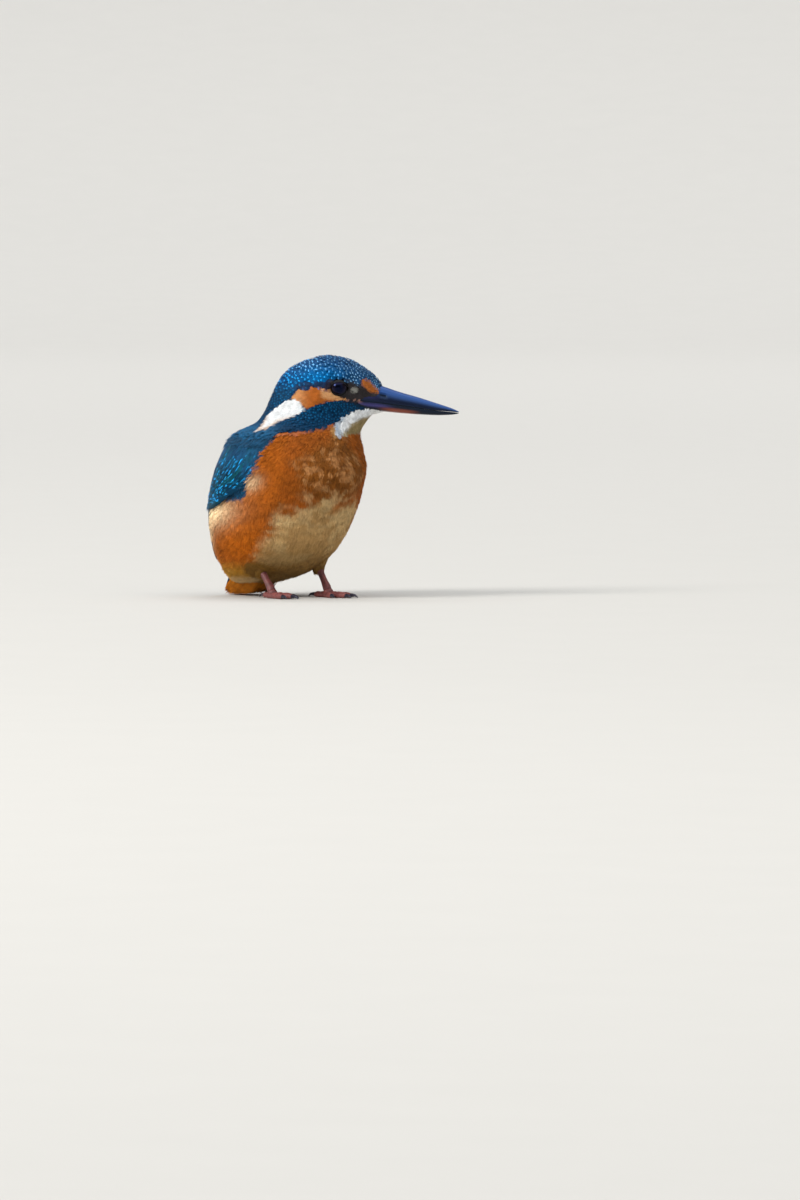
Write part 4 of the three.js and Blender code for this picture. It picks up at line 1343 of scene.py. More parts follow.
def paper_material(colour):
    """Matte seamless paper: no shine, almost no grain, and paler where it curves up, far from the lights."""
    made, add = new_material("seamless_paper")
    space = add("ShaderNodeTexCoord", output="Object")
    fibre = add("ShaderNodeTexNoise", {"Vector": space, "Scale": 30.0, "Detail": 4.0})
    grain = add("ShaderNodeMapRange", {0: fibre, 3: 0.985, 4: 1.015})
    reach = add("ShaderNodeVectorMath", {0: space}, "Value", operation="LENGTH")
    paler = {0: reach, 1: 2.0, 2: 8.0, 3: 1.0, 4: 1.4}
    paler = add("ShaderNodeMapRange", paler, interpolation_type="SMOOTHSTEP")
    gain = add("ShaderNodeMath", {0: grain, 1: paler}, operation="MULTIPLY")
    paper = add("ShaderNodeVectorMath", {0: tuple(colour), "Scale": gain}, operation="SCALE")
    return close_material(made, add, {"Base Color": paper, "Roughness": 0.9})


# ---------------------------------------------------------------- settings


def colour_setting(name, code, description):
    return bpy.props.FloatVectorProperty(
        name=name, description=description, subtype="COLOR", size=3, min=0, max=1, default=linear(code)
    )


def number_setting(name, default, description, **settings):
    return bpy.props.FloatProperty(name=name, default=default, description=description, **settings)


def power_setting(name, watts, description):
    return number_setting(name, watts, description, min=0, unit="POWER")


def size_setting(name, millimetres, description):
    lengths = {"subtype": "DISTANCE", "unit": "LENGTH", "precision": 5}
    return number_setting(name, millimetres * MM, description, min=0, **lengths)


class PlumageColours(bpy.types.PropertyGroup):
    """Colours of the plumage, which skin and feathers share."""

    breast: colour_setting("Breast", "#a05318", "Orange of the breast")
    breast_deep: colour_setting("Breast, deep", "#8f4c14", "Deeper orange in the breast's patches")
    flank_bright: colour_setting("Flank, bright", "#b9621a", "Brightest orange, at the side of the breast")
    flank_deep: colour_setting("Flank, deep", "#bd6315", "Deep orange band on the flank")
    # A pale fringe below the wing, made brighter as a painted highlight.
    flank_pale: colour_setting("Flank, pale", "#ffe2b4", "Pale fringe below the wing")
    dusky: colour_setting("Dusky patch", "#84501f", "Dusky brown on the upper breast")
    dusky_pale: colour_setting("Dusky patch, pale", "#bd8450", "Pale feather edges in the dusky patch")
    dusky_dark: colour_setting("Dusky patch, dark", "#623710", "Dark feather edges in the dusky patch")
    belly: colour_setting("Belly", "#bf9a64", "Buff of the belly")
    belly_pale: colour_setting("Belly, pale", "#e0c48f", "Pale streaks of the belly")
    # A slightly darker buff, darkened further as painted shade under the body; it is laid on the thighs too.
    belly_low: colour_setting("Lower belly", "#7c5a28", "Buff of the lower belly")
    vent: colour_setting("Vent", "#b98630", "Olive buff beside the vent")
    vent_pale: colour_setting("Vent, pale", "#d8b888", "Pale tufts of the vent")
    undertail: colour_setting("Undertail", "#ae671c", "Orange under the tail")
    mantle: colour_setting("Mantle", "#194e71", "Dark teal of the mantle")
    azure_back: colour_setting("Back", "#1787d4", "Azure of the back and rump")
    azure: colour_setting("Azure", "#22a4f2", "The brightest azure, of spots and streaks")
    crown: colour_setting("Crown", "#033766", "Dark blue of the crown")
    crown_bright: colour_setting("Crown, bright", "#04609f", "Bright blue above the eye")
    nape: colour_setting("Nape", "#061f30", "Duller blue of the nape")
    # Painted reflection: the forehead's greyer blue and its paler spots stand for the sky's sheen.
    forehead: colour_setting("Forehead", "#28507a", "Greyer blue of the forehead")
    forehead_spot: colour_setting("Forehead spots", "#9fd2f8", "Pale blue spots near the bill")
    malar: colour_setting("Moustache stripe", "#042440", "Blue stripe behind the bill")
    malar_dark: colour_setting("Moustache stripe, dark", "#12263b", "Its dark front end")
    ear: colour_setting("Ear coverts", "#b56326", "Orange behind the eye")
    ear_pale: colour_setting("Ear coverts, pale", "#dca974", "Pale ends of the ear coverts")
    white: colour_setting("White", "#eef0f1", "White of the neck patch and throat")
    # Painted shade: the bluish grey at the lower end of the throat band.
    white_shade: colour_setting("White shade", "#aebccb", "Bluish shade at the end of the throat band")
    white_warm: colour_setting("White warm", "#cfb7a5", "Lower rim of the neck patches")
    # Painted shade: the olive grey of the throat's middle under the chin.
    throat_shade: colour_setting("Throat, grey", "#917c4a", "Greyer middle of the throat")
    eye_line: colour_setting("Eye line", "#232238", "Dark line behind the eye")
    lores: colour_setting("Lores", "#353235", "Near black before and under the eye")
    loral: colour_setting("Loral patch", "#c06f34", "Orange before the eye")
    gape_skin: colour_setting("Gape line", "#b98a7c", "Thin fleshy line from the bill to under the eye")
    pale_spot: colour_setting("Pale spot", "#96968f", "Small grey spot before the eye")
    scapular: colour_setting("Scapulars", "#1e4569", "Plain blue of the scapulars")
    covert: colour_setting("Wing coverts", "#02283f", "Dark teal of the wing coverts")
    covert_green: colour_setting("Wing coverts, green", "#08605c", "Greener teal of some wing coverts")
    quill: colour_setting("Flight feathers", "#12151f", "Near black of the flight feathers")
    quill_blue: colour_setting("Flight feathers, blue", "#0a4674", "Blue of their outer webs")
    tail_blue: colour_setting("Tail", "#1a4f86", "Blue of the tail's upper face")

    def looks(self):
        return {name: tuple(getattr(self, name)) for name in self.__annotations__}


class HornSettings(bpy.types.PropertyGroup):
    """Sizes and colours of the bill, eyes, legs and claws."""

    # Painted reflection: the blue of the sky on the black bill's top.
    culmen: colour_setting("Bill, above", "#22427c", "Blue sheen of the upper bill")
    side: colour_setting("Bill, side", "#0c0f22", "Near black of the bill's side")
    lower: colour_setting("Bill, below", "#0b0b13", "Dark tip of the lower bill")
    # Painted highlight: the purple streaks along the sides of the bill near its base.
    base: colour_setting("Bill, base", "#453c78", "Purple base of the bill")
    orange: colour_setting("Bill, orange", "#8a4529", "Orange under the bill's base")
    gape: colour_setting("Gape", "#c98f78", "Fleshy line of the mouth")
    iris: colour_setting("Iris", "#120a09", "Dark brown iris")
    pupil: colour_setting("Pupil", "#020202", "Black pupil")
    lid: colour_setting("Lids", "#0a0a0c", "Bare skin of the lids")
    leg: colour_setting("Legs", "#96504a", "Dull red of legs and toes")
    leg_dark: colour_setting("Legs, dark", "#4d343a", "Dusky front of the legs")
    claw: colour_setting("Claws", "#2a2530", "Dark horn of the claws")
    lid_width: size_setting("Lid width", 0.45, "Width of the bare rim of the lids")
    pupil_radius: size_setting("Pupil radius", 1.7, "Radius of the pupil")


class StageSettings(bpy.types.PropertyGroup):
    """The studio: floor, lights and camera."""

    floor: colour_setting("Floor", "#c8c5bf", "Pale paper of the floor")
    world: colour_setting("Room", "#dcdfe3", "Light that fills the room")
    world_strength: number_setting("Room light", 0.36, "Strength of the light that fills the room", min=0)
    key_power: power_setting("Key light", 92, "Power of the large light from above")
    ceiling_power: power_setting("Ceiling", 700, "Power of the wide light overhead")
    wall_power: power_setting("Wall light", 260, "Power of the light on the wall behind")
    fill_power: power_setting("Fill light", 7, "Power of the soft light in front")
    elevation: number_setting(
        "Camera height angle", math.radians(2.5), "Angle of the camera above the horizon",
        subtype="ANGLE", unit="ROTATION",
    )
    distance: size_setting("Camera distance", 4000, "Distance from the bird")
    frame_height: size_setting("Frame height", 504, "Height of what the camera sees at the bird")
    aim_right: size_setting("Aim", 47.04, "How far right of the bird's own origin the camera aims")


# ---------------------------------------------------------------- operators


# The floor's rings: how far out each lies, in metres, and its count of corners.
FLOOR_REACH = np.array([0.02, 1, 3, 6, 7, 8, 9, 10, 11, 12, 13, 14, 15])
FLOOR_CORNERS = 96
# The place, the width and the colour of each lamp. The wall's lamp points up the wall, the others point at
# the bird.
LAMPS = {
    "key": ((-2.4, -1.6, 2.0), 1.5, (1.0, 0.985, 0.96)),
    "fill": ((2.0, -2.4, 1.2), 2.0, (0.93, 0.96, 1.0)),
    "ceiling": ((0, -1, 7), 14, (0.95, 0.975, 1.0)),
    "wall": ((0, 2, 6), 5, (0.98, 0.985, 1.0)),
}
BIRD_MIDDLE = Vector((0, 0, 0.055))
WALL_WAY = Vector((0, 0.92, -0.4))
SENSOR = 36
CAMERA_Z = -0.00126  # the height of what the camera aims at


class KINGFISHER_OT_stage(bpy.types.Operator):
    """Make the floor, the soft lights and the camera"""

    bl_idname = "kingfisher.stage"
    bl_label = "Stage"

    def floor(self, colour):
        """A wide floor whose far rim curves up, so that no horizon shows."""
        rise = 5 * smooth(6, 18, FLOOR_REACH) * smooth(5, 7, FLOOR_REACH)
        turn = round_steps(FLOOR_CORNERS)
        x, y = FLOOR_REACH[:, None] * np.cos(turn), FLOOR_REACH[:, None] * np.sin(turn)
        corners = np.stack([x, y, rise[:, None] + 0 * x], -1).reshape(-1, 3)
        faces = [tuple(range(FLOOR_CORNERS))]
        for a in range(0, len(corners) - FLOOR_CORNERS, FLOOR_CORNERS):
            b = a + FLOOR_CORNERS
            steps = [(j, (j + 1) % FLOOR_CORNERS) for j in range(FLOOR_CORNERS)]
            faces += [(a + j, b + j, b + k, a + k) for j, k in steps]
        mesh = bpy.data.meshes.new("floor")
        mesh.from_pydata(corners.tolist(), [], faces)
        mesh.polygons.foreach_set("use_smooth", np.full(len(faces), True))
        mesh.materials.append(paper_material(colour))
        new_object("floor", mesh)

    def lamp(self, name, power):
        place, size, colour = LAMPS[name]
        light = bpy.data.lights.new(name, "AREA")
        light.shape = "DISK"
        light.size = size
        light.energy = power
        light.color = colour
        lamp = new_object(name, light)
        lamp.location = place
        way = WALL_WAY if name == "wall" else BIRD_MIDDLE - Vector(place)
        lamp.rotation_euler = way.to_track_quat("-Z", "Y").to_euler()

    def camera(self, stage):
        camera = bpy.data.cameras.new("camera")
        camera.sensor_width = SENSOR
        camera.lens = SENSOR * stage.distance / stage.frame_height
        camera.clip_start, camera.clip_end = 0.05, 100
        eye = new_object("camera", camera)
        target = Vector((stage.aim_right - SHIFT[0] * MM, 0, CAMERA_Z))
        back = Vector((0, -math.cos(stage.elevation), math.sin(stage.elevation)))
        eye.location = target + back * stage.distance
        eye.rotation_euler = (-back).to_track_quat("-Z", "Y").to_euler()
        return eye

    def execute(self, context):
        stage = context.scene.kingfisher_stage
        self.floor(stage.floor)
        world = bpy.data.worlds.new("room")
        world.use_nodes = True
        sky = world.node_tree.nodes["Background"]
        sky.inputs["Color"].default_value = (*stage.world, 1)
        sky.inputs["Strength"].default_value = stage.world_strength
        context.scene.world = world
        for name in LAMPS:
            self.lamp(name, getattr(stage, f"{name}_power"))
        context.scene.camera = self.camera(stage)
        context.scene.view_settings.view_transform = "Standard"
        return {"FINISHED"}


class KINGFISHER_OT_skin(bpy.types.Operator):
    """Make the one skin under the whole coat, from crown to thighs"""

    bl_idname = "kingfisher.skin"
    bl_label = "Skin"

    def execute(self, context):
        looks = context.scene.kingfisher_colours.looks()
        points = SURFACE.points[:SURFACE.skin_points]
        normals = SURFACE.normals[:SURFACE.skin_points]
        depth = coat_sizes(points, Markings(points, looks).silky)[3]
        sunk = points - normals * (depth + 0.15)[:, None]
        for eye in EYES.values():
            away = np.linalg.norm(sunk - eye, axis=1)
            socket = smooth(EYE["radius"] + 1.6, EYE["radius"] - 0.6, away)
            sunk = sunk - normals * (0.9 * socket)[:, None]
        loops, starts = face_runs(SURFACE.faces[:SURFACE.skin_faces])
        rough = mesh_object("skin_rough", sunk, loops, starts, skin_material())
        voxels = rough.modifiers.new("one_surface", "REMESH")
        voxels.mode = "VOXEL"
        voxels.voxel_size = 0.75 * MM
        voxels.use_smooth_shade = True
        material = rough.data.materials[0]
        skin = evaluated_copy(rough, "skin")
        if not skin.data.materials:
            skin.data.materials.append(material)
        places = np.empty(3 * len(skin.data.vertices))
        skin.data.vertices.foreach_get("co", places)
        points = places.reshape(-1, 3) / MM + SHIFT
        paint_points(skin, "Plumage", Markings(points, looks).colours)
        give_uv(skin, "OFBake", unwrapped(points))
        finish_piece(skin, "orange_plumage", "head", "neck", "torso")
        return {"FINISHED"}


# Where the coat's pieces meet: the lowest heights of head and breast, and bearings.
COAT = {"head": 68, "breast": 44, "flank": 60, "upper_back": 110, "lower_back": 125}


class KINGFISHER_OT_coat(bpy.types.Operator):
    """Lay the small feathers of head, breast, belly and back"""

    bl_idname = "kingfisher.coat"
    bl_label = "Coat"

    def execute(self, context):
        looks = context.scene.kingfisher_colours.looks()
        warm = (WARM_GLOSS, (0.86, 0.95, 0.3))
        soft = feather_material("loose_body_feather", 11, 0.2, 0.85, 0.15, 0.1, *warm)
        silk = feather_material("silky_face_feather", 5, 0.2, 0.75, 0.05, 0.15, *warm)
        scales = feather_material("crown_feather", 8, 0.2, 0.5, 0.0, 0.3, BLUE_GLOSS, (0.76, 0.95, 0.3))
        roots, normals = all_roots(looks)
        z, turned = roots[:, 2], np.abs(bearing_of(roots))
        silky = Markings(roots, looks).silky > 0.5
        head, upper = z > COAT["head"], z > COAT["breast"]
        low = ~head & ~upper
        behind = turned >= np.where(upper, COAT["upper_back"], COAT["lower_back"])
        pieces = {
            "coat_crown": (head & ~silky, SCALE_LIKE, scales, "blue_plumage"),
            "coat_face": (head & silky, SILK, silk, "orange_plumage"),
            "coat_breast": (~head & upper & ~behind, SOFT, soft, "orange_plumage"),
            "coat_belly": (low & (turned < COAT["flank"]), SOFT, soft, "orange_plumage"),
            "coat_flanks": (low & (turned >= COAT["flank"]) & ~behind, SOFT, soft, "orange_plumage"),
            "coat_back": (~head & behind, SOFT, soft, "blue_plumage"),
        }
        for name, (keep, pattern, material, slot) in pieces.items():
            lay_coat(name, pattern, roots[keep], normals[keep], looks, material, slot)
        trousers = Feathers(SOFT, SEED + 30)
        for hand in LEGS:
            self.dress_thigh(trousers, hand, looks)
        finish_piece(trousers.build("coat_thighs", soft), "orange_plumage")
        return {"FINISHED"}

    def dress_thigh(self, feathers, hand, looks, rows=16, count=26, length=4.6):
        """Soft feathers in rings along a thigh, hanging a little over the leg."""
        random, stations = feathers.random, feathers.pattern.rows[None]
        hip, heel = leg_place(hand, LEGS[hand]["hip"]), leg_place(hand, LEGS[hand]["heel"])
        total = rows * count
        ring = np.repeat(np.arange(rows), count)
        turn = 2 * math.pi * (np.arange(total) * GOLDEN + 0.02 * random.random(total))
        out = spokes(unit(heel - hip), [1.0, 0, 0], turn)
        begin = mix(0.25, 0.95, (ring + random.random(total) * 0.6) / rows)
        far = begin[:, None] + stations * length / np.linalg.norm(heel - hip)
        radius = curve(THIGH)(np.minimum(far, 1)) * (1 - 0.35 * smooth(1, 1.3, far))
        lift = mix(-1.3, 0.25, stations ** 0.6) + 0.25 * random.random((total, 1))
        line = hip + (heel - hip) * far[..., None] + out[:, None] * (radius + lift)[..., None]
        tone = Markings(line[:, 0], looks).colours * (0.9 + 0.2 * random.random((total, 1)))
        tones = (tone * 0.8, tone, tone * 1.1)
        roll = 16 * (random.random(total) - 0.5)
        half = 0.85 + 0.3 * random.random(total)
        normal = out[:, None] + 0 * line
        no_spot = np.zeros(total)
        feathers.add(line, normal, half, COAT_CROWN, roll, 0, tones, no_spot, tone, unwrapped(line[:, 0]))


# Tiers of wing feathers, from the primaries to the median coverts: the share of the wing's length where they
# start, the shares where their tips lie, the shares of its width, their count, the lift of root and tip, the
# half-widths, their tone, and how bright a spot their tips carry. Pairs of tips, widths and half-widths run
# from the lower to the inner edge.
WING_TIERS = [
    (0.42, (0.985, 0.84), (0.03, 0.44), 9, (0.7, 1.1), (2.0, 2.4), "quill", 0.0),
    (0.40, (0.83, 0.75), (0.36, 0.88), 10, (0.9, 1.4), (2.3, 2.7), "quill", 0.0),
    (0.34, (0.68, 0.62), (0.8, 0.97), 4, (1.1, 1.8), (2.8, 3.2), "scapular", 0.0),
    (0.33, (0.6, 0.62), (0.03, 0.93), 18, (1.1, 1.75), (1.9, 2.3), "covert", 0.7),
    (0.27, (0.53, 0.55), (0.03, 0.93), 18, (1.15, 1.85), (1.8, 2.2), "covert", 0.9),
]
LARGE_TIERS = 3  # the first tiers, whose feathers are closed blades
TIER_STRAY = 0.012
# Rows of small feathers that follow, each up from the last one.
LESSER = {"rows": 12, "first": 0.08, "step": 0.035, "length": 0.17}
SCAPULARS = {"rows": 10, "first": 0.1, "step": 0.042, "length": 0.2}


def wing_tiers():
    """Every tier of a wing, from its tip up."""
    yield from WING_TIERS
    for row, root, tip in small_rows(LESSER):
        across = (0.02, 0.86) if row % 2 else (0.04, 0.84)
        spot = float(smooth(0.08, 0.16, tip))
        yield root, (tip, tip + 0.01), across, 18, (1.2, 2.0), (1.5, 1.8), "covert", spot
    for row, root, tip in small_rows(SCAPULARS):
        yield root, (tip, tip + 0.03), (0.62, 1.04), 9, (1.5, 2.3), (1.7, 1.7 * 1.1), "scapular", 0.1


def small_rows(size):
    for row in reversed(range(size["rows"])):
        tip = size["first"] + row * size["step"]
        yield row, tip - size["length"], tip


class KINGFISHER_OT_wings(bpy.types.Operator):
    """Make the folded wings, tier over tier"""

    bl_idname = "kingfisher.wings"
    bl_label = "Wings"

    def tier(self, feathers, side, looks, sizes):
        """The feathers of one tier, from the wing's lower to its inner edge."""
        root, tips, across, count, lift, half, tone, spot = sizes
        random, stations = feathers.random, feathers.pattern.rows[None]
        blade = feathers.pattern is BLADE
        share = (np.arange(count) + 0.3 * (random.random(count) - 0.5)) / (count - 1)
        tip = mix(*tips, share) + TIER_STRAY * (random.random(count) - 0.5) * 2
        start = np.maximum(root + TIER_STRAY * (random.random(count) - 0.5), 0)
        far = mix(start[:, None], tip[:, None], stations)
        aside = mix(*across, share)[:, None] + 0 * far
        rise = mix(*lift, stations) + 0.12 * (random.random(count)[:, None] - 0.5)
        rise = rise + (0.45 * share[:, None] if blade else 0)
        rise = rise * mix(0.4, 1.0, smooth(0, 0.36, far))
        line, normal = on_wing(side, far, aside, rise)
        middle = self.tones(tone, share, tip, looks) * (0.8 + 0.4 * random.random((count, 1)))
        if tone == "covert":
            middle = paint(middle, 0.45 * random.random(count) ** 2, looks["covert_green"])
        tones = (middle * 0.4, middle, middle * (0.8 if blade else 1.15))
        rim = (0.75 - 0.6 * smooth(0.8, 0.86, tip))[:, None]
        edge = middle * 0.5 if tone != "quill" else middle * 0.6 + np.array(looks["quill_blue"]) * rim
        edge = np.clip(edge, 0, 1)
        bright = spot * np.where(random.random(count) < 0.62, 0.85 + 0.15 * random.random(count), 0.15)
        bright = bright * mix(1.0, 0.45, smooth(0.45, 0.85, share))
        azure = np.clip(plain(looks["azure"], count) * (0.8 + 0.5 * random.random((count, 1))), 0, 1)
        widths = mix(*half, share) * (0.93 + 0.14 * random.random(count))
        roots = unwrapped(line[:, 0])
        thick = 0.18 if blade else 0
        feathers.add(line, normal, widths, 0.13, side * 8.0, thick, tones, bright, azure, roots, edge)

    def tones(self, tone, share, tip, looks):
        """The colour of each feather of a tier at its middle."""
        base = plain(looks[tone], len(share))
        if tone == "quill":
            return paint(base, 0.5 - 0.42 * smooth(0.8, 0.86, tip), looks["quill_blue"])
        if tone == "covert":
            dull = np.maximum(smooth(0.55, 0.95, share) * 0.6, smooth(0.3, 0.16, tip) * 0.8)
            return paint(base, dull, looks["scapular"])
        return base

    def execute(self, context):
        looks = context.scene.kingfisher_colours.looks()
        quills = quill_material("flight_feather")
        coverts = feather_material("wing_covert", 16, 0.2, 0.5, 0.0, 0.3, BLUE_GLOSS, (0.8, 0.97, 0.23))
        for hand, side in SIDES.items():
            blades, small = Feathers(BLADE, SEED + 10), Feathers(SCALE_LIKE, SEED + 11)
            for row, sizes in enumerate(wing_tiers()):
                self.tier(blades if row < LARGE_TIERS else small, side, looks, sizes)
            finish_piece(blades.build(f"flight_feathers_{hand}", quills), "blue_plumage", f"wing_{hand}")
            finish_piece(small.build(f"wing_coverts_{hand}", coverts), "blue_plumage")
        return {"FINISHED"}


RECTRICES = {"count": 12, "shorter": 0.05, "half": 1.75, "lift": 0, "rise": 0.35, "tone": "tail_blue"}
UPPER_COVERTS = {"count": 7, "shorter": 0.06, "half": 1.7, "lift": 1, "rise": 0.7, "tone": "azure_back"}
UPPER_ROWS = {"rows": 4, "first": -0.1, "step": 0.12, "length": 0.42}
UNDER_COVERTS = {
    "count": 340, "wide": 7, "half": 2.4,
    "root": (-15, -27), "root_z": (6.2, 10), "tip": (-22.5, -34.6), "tip_z": (1.6, 0.5),
}
TAIL_GAP, UNDER_GAP = 0.25, 0.35  # the least heights of the middles of feathers over and under the tail


class KINGFISHER_OT_tail(bpy.types.Operator):
    """Make the short tail with its coverts above and below"""

    bl_idname = "kingfisher.tail"
    bl_label = "Tail"

    def fan(self, feathers, looks, size, start, tip):
        """One row of feathers across the tail, with the middle one on top."""
        random, stations = feathers.random, feathers.pattern.rows[None]
        blade = feathers.pattern is BLADE
        count, half = size["count"], size["half"]
        left = np.linspace(-1, 1, count)
        left = left[np.argsort(-np.abs(left), kind="stable")]
        end = tip - size["shorter"] * np.abs(left) + 0.006 * (random.random(count) - 0.5)
        far = mix(start, end[:, None], stations)
        spread = mix(TAIL["root_half"], TAIL["tip_half"], far) - half * 0.8
        high = size["lift"] + size["rise"] * stations ** 1.5 + 0.25 * (1 - np.abs(left))[:, None]
        line, normal = on_tail(far, left[:, None] * spread, high)
        line[..., 2] = np.maximum(line[..., 2], TAIL_GAP)
        middle = plain(looks[size["tone"]], count) * (0.85 + 0.3 * random.random((count, 1)))
        tones = (middle * 0.6, middle, middle * 0.8)
        edge = middle * 0.5 if blade else None
        widths = half * (0.93 + 0.14 * random.random(count))
        roll = -6.0 * np.sign(left)
        thick = 0.16 if blade else 0
        no_spot, azure, roots = np.zeros(count), plain(looks["azure"], count), unwrapped(line[:, 0])
        feathers.add(line, normal, widths, 0.1, roll, thick, tones, no_spot, azure, roots, edge)

    def skirt(self, feathers, looks):
        """The soft coverts that hang from the vent to the tail's under face."""
        size, random, far = UNDER_COVERTS, feathers.random, feathers.pattern.rows[None]
        count = size["count"]
        deep = (np.arange(count) + 0.5) / count
        left = (np.arange(count) * GOLDEN % 1) * 2 - 1
        forward = mix(mix(*size["root"], deep)[:, None], mix(*size["tip"], deep)[:, None], far)
        z = mix(mix(*size["root_z"], deep)[:, None], mix(*size["tip_z"], deep)[:, None], far ** 0.8)
        forward = forward + 2.4 * (random.random(count)[:, None] - 0.5)
        aside = left[:, None] * mix(size["wide"] * 0.9, size["wide"], far)
        line = on_body(forward, aside, np.maximum(z, UNDER_GAP))
        normal = unit(on_body(0.6 + 0 * left, 0.9 * left, -0.7))[:, None] + 0 * line
        tone = plain(looks["undertail"], count) * (0.75 + 0.5 * random.random((count, 1)))
        tones = (tone * 0.9, tone, tone * 1.1)
        half = size["half"] * (0.85 + 0.3 * random.random(count))
        roll = 20 * (random.random(count) - 0.5)
        feathers.add(line, normal, half, 0.15, roll, 0, tones, np.zeros(count), tone, unwrapped(line[:, 0]))

    def execute(self, context):
        looks = context.scene.kingfisher_colours.looks()
        quills = quill_material("tail_feather")
        coverts = feather_material("tail_covert", 12, 0.2, 0.8, 0.05, 0.1, WARM_GLOSS, (0.86, 0.95, 0.2))
        blades = Feathers(BLADE, SEED + 20)
        small, under = Feathers(SOFT, SEED + 21), Feathers(SOFT, SEED + 22)
        self.fan(blades, looks, RECTRICES, 0.12, 1.0)
        finish_piece(blades.build("tail_feathers", quills), "blue_plumage", "tail")
        for row in reversed(range(UPPER_ROWS["rows"])):
            start = UPPER_ROWS["first"] + row * UPPER_ROWS["step"]
            self.fan(small, looks, UPPER_COVERTS, start, start + UPPER_ROWS["length"])
        finish_piece(small.build("tail_coverts", coverts), "blue_plumage")
        self.skirt(under, looks)
        finish_piece(under.build("undertail_coverts", coverts), "orange_plumage")
        return {"FINISHED"}


MANDIBLE = {"stations": 90, "sides": 40, "slit": 0.12, "nostril_depth": 0.9}


class KINGFISHER_OT_bill(bpy.types.Operator):
    """Make the two mandibles and the fleshy line of the mouth"""

    bl_idname = "kingfisher.bill"
    bl_label = "Bill"

    def section(self, sides):
        """Round a mandible: an arch from edge to edge over the ridge, then the flat of the mouth."""
        arch = np.linspace(0, math.pi, sides // 2 + 4)
        flat = np.linspace(-1, 1, sides - len(arch) + 2)[1:-1] * 0.97
        across = np.concatenate([np.sign(np.cos(arch)) * np.abs(np.cos(arch)) ** 0.85, flat])
        return across, np.concatenate([np.sin(arch) ** 1.15, np.full(len(flat), -0.02)])

    def mandible(self, name, horn, material, upper):
        sides = MANDIBLE["sides"]
        far = np.linspace(0, 1, MANDIBLE["stations"]) ** 0.9
        forward = mix(BILL[0][0], BILL[-1][0], far)
        culmen, mouth, keel, half = bill_shape(forward)
        up, ridge = (1, culmen) if upper else (-1, keel)
        edge = mouth + up * MANDIBLE["slit"]
        tall = np.maximum(up * (ridge - edge), 0.12)
        across, high = self.section(sides)
        left = across[None] * half[:, None]
        z = edge[:, None] + up * high[None] * tall[:, None]
        forward = forward[:, None] + 0 * left
        slit = self.nostril(forward, left, z) if upper else 0 * left
        rings = on_head(forward, left - np.sign(left) * slit, z)
        colours = self.colours(horn, upper, forward, high + 0 * left, slit)
        if not upper:
            rings, colours = rings[:, ::-1], colours[:, ::-1]
        made = tube_object(name, rings, material)
        paint_points(made, "Horn", tube_points(colours))
        give_grain(made, far, round_steps(sides) / (2 * math.pi))
        return made

    def nostril(self, forward, left, z):
        """How deep the nostril lies at places on the upper mandible."""
        past = forward - NOSTRIL["ahead"]
        off_line = z - NOSTRIL["z"] - math.tan(math.radians(NOSTRIL["slope"])) * past
        way = np.hypot(past / (NOSTRIL["length"] * 0.55), off_line / (NOSTRIL["height"] * 0.75))
        return MANDIBLE["nostril_depth"] * (1 - smooth(0.45, 1.1, way)) * (np.abs(left) > 1)

    def colours(self, horn, upper, forward, high, slit):
        shape = high.shape
        forward, high, slit = forward.ravel(), high.ravel(), slit.ravel()
        base = tuple(horn.base)
        if upper:
            colours = plain(horn.side, len(high))
            dark = colours[0] * 0.3
            # Painted reflection: the top turns blue, as the sky shows on black horn; the purple streak below
            # is a painted highlight.
            colours = paint(colours, smooth(0.25, 0.8, high), tuple(horn.culmen))
            highlight_streak = smooth(27, 17, forward) * np.exp(-(((high - 0.3) / 0.13) ** 2))
            colours = paint(colours, 0.6 * highlight_streak, base)
            # Painted shade: the nostril's slit is darker the deeper it lies.
            colours = paint(colours, smooth(0.15, 0.6, slit), dark)
        else:
            colours = plain(horn.lower, len(high))
            # Painted highlight: a purple streak along the lower bill's base.
            highlight_streak = smooth(33, 24, forward) * np.exp(-(((high - 0.32) / 0.2) ** 2))
            colours = paint(colours, 0.9 * highlight_streak, base)
            orange = smooth(23, 31, forward) * smooth(43, 36, forward) * smooth(0.3, 0.62, high)
            colours = paint(colours, orange, tuple(horn.orange))
            gape = smooth(19, 15, forward) * smooth(0.3, 0.1, high)
            colours = paint(colours, 0.8 * gape, tuple(horn.gape))
        return colours.reshape(*shape, 3)

    def execute(self, context):
        horn = context.scene.kingfisher_horn
        material = horn_material("satin_bill_keratin", 0.32, 0.15, (0.4, 0.62, 1.0))
        for node in ("bill_upper", "bill_lower"):
            made = self.mandible(f"{node}_horn", horn, material, node == "bill_upper")
            finish_piece(made, "bill_horn", node)
        return {"FINISHED"}


BALL = {"rings": 40, "sides": 64, "first": 0.06}
# The opening between the lids, as half-widths along the eye and above and below it, and where the lids end.
LIDS = {"steps": 72, "sides": 16, "long": 3.25, "upper": 2.45, "lower": 2.6, "edge": 3.05, "end_high": 1.9}


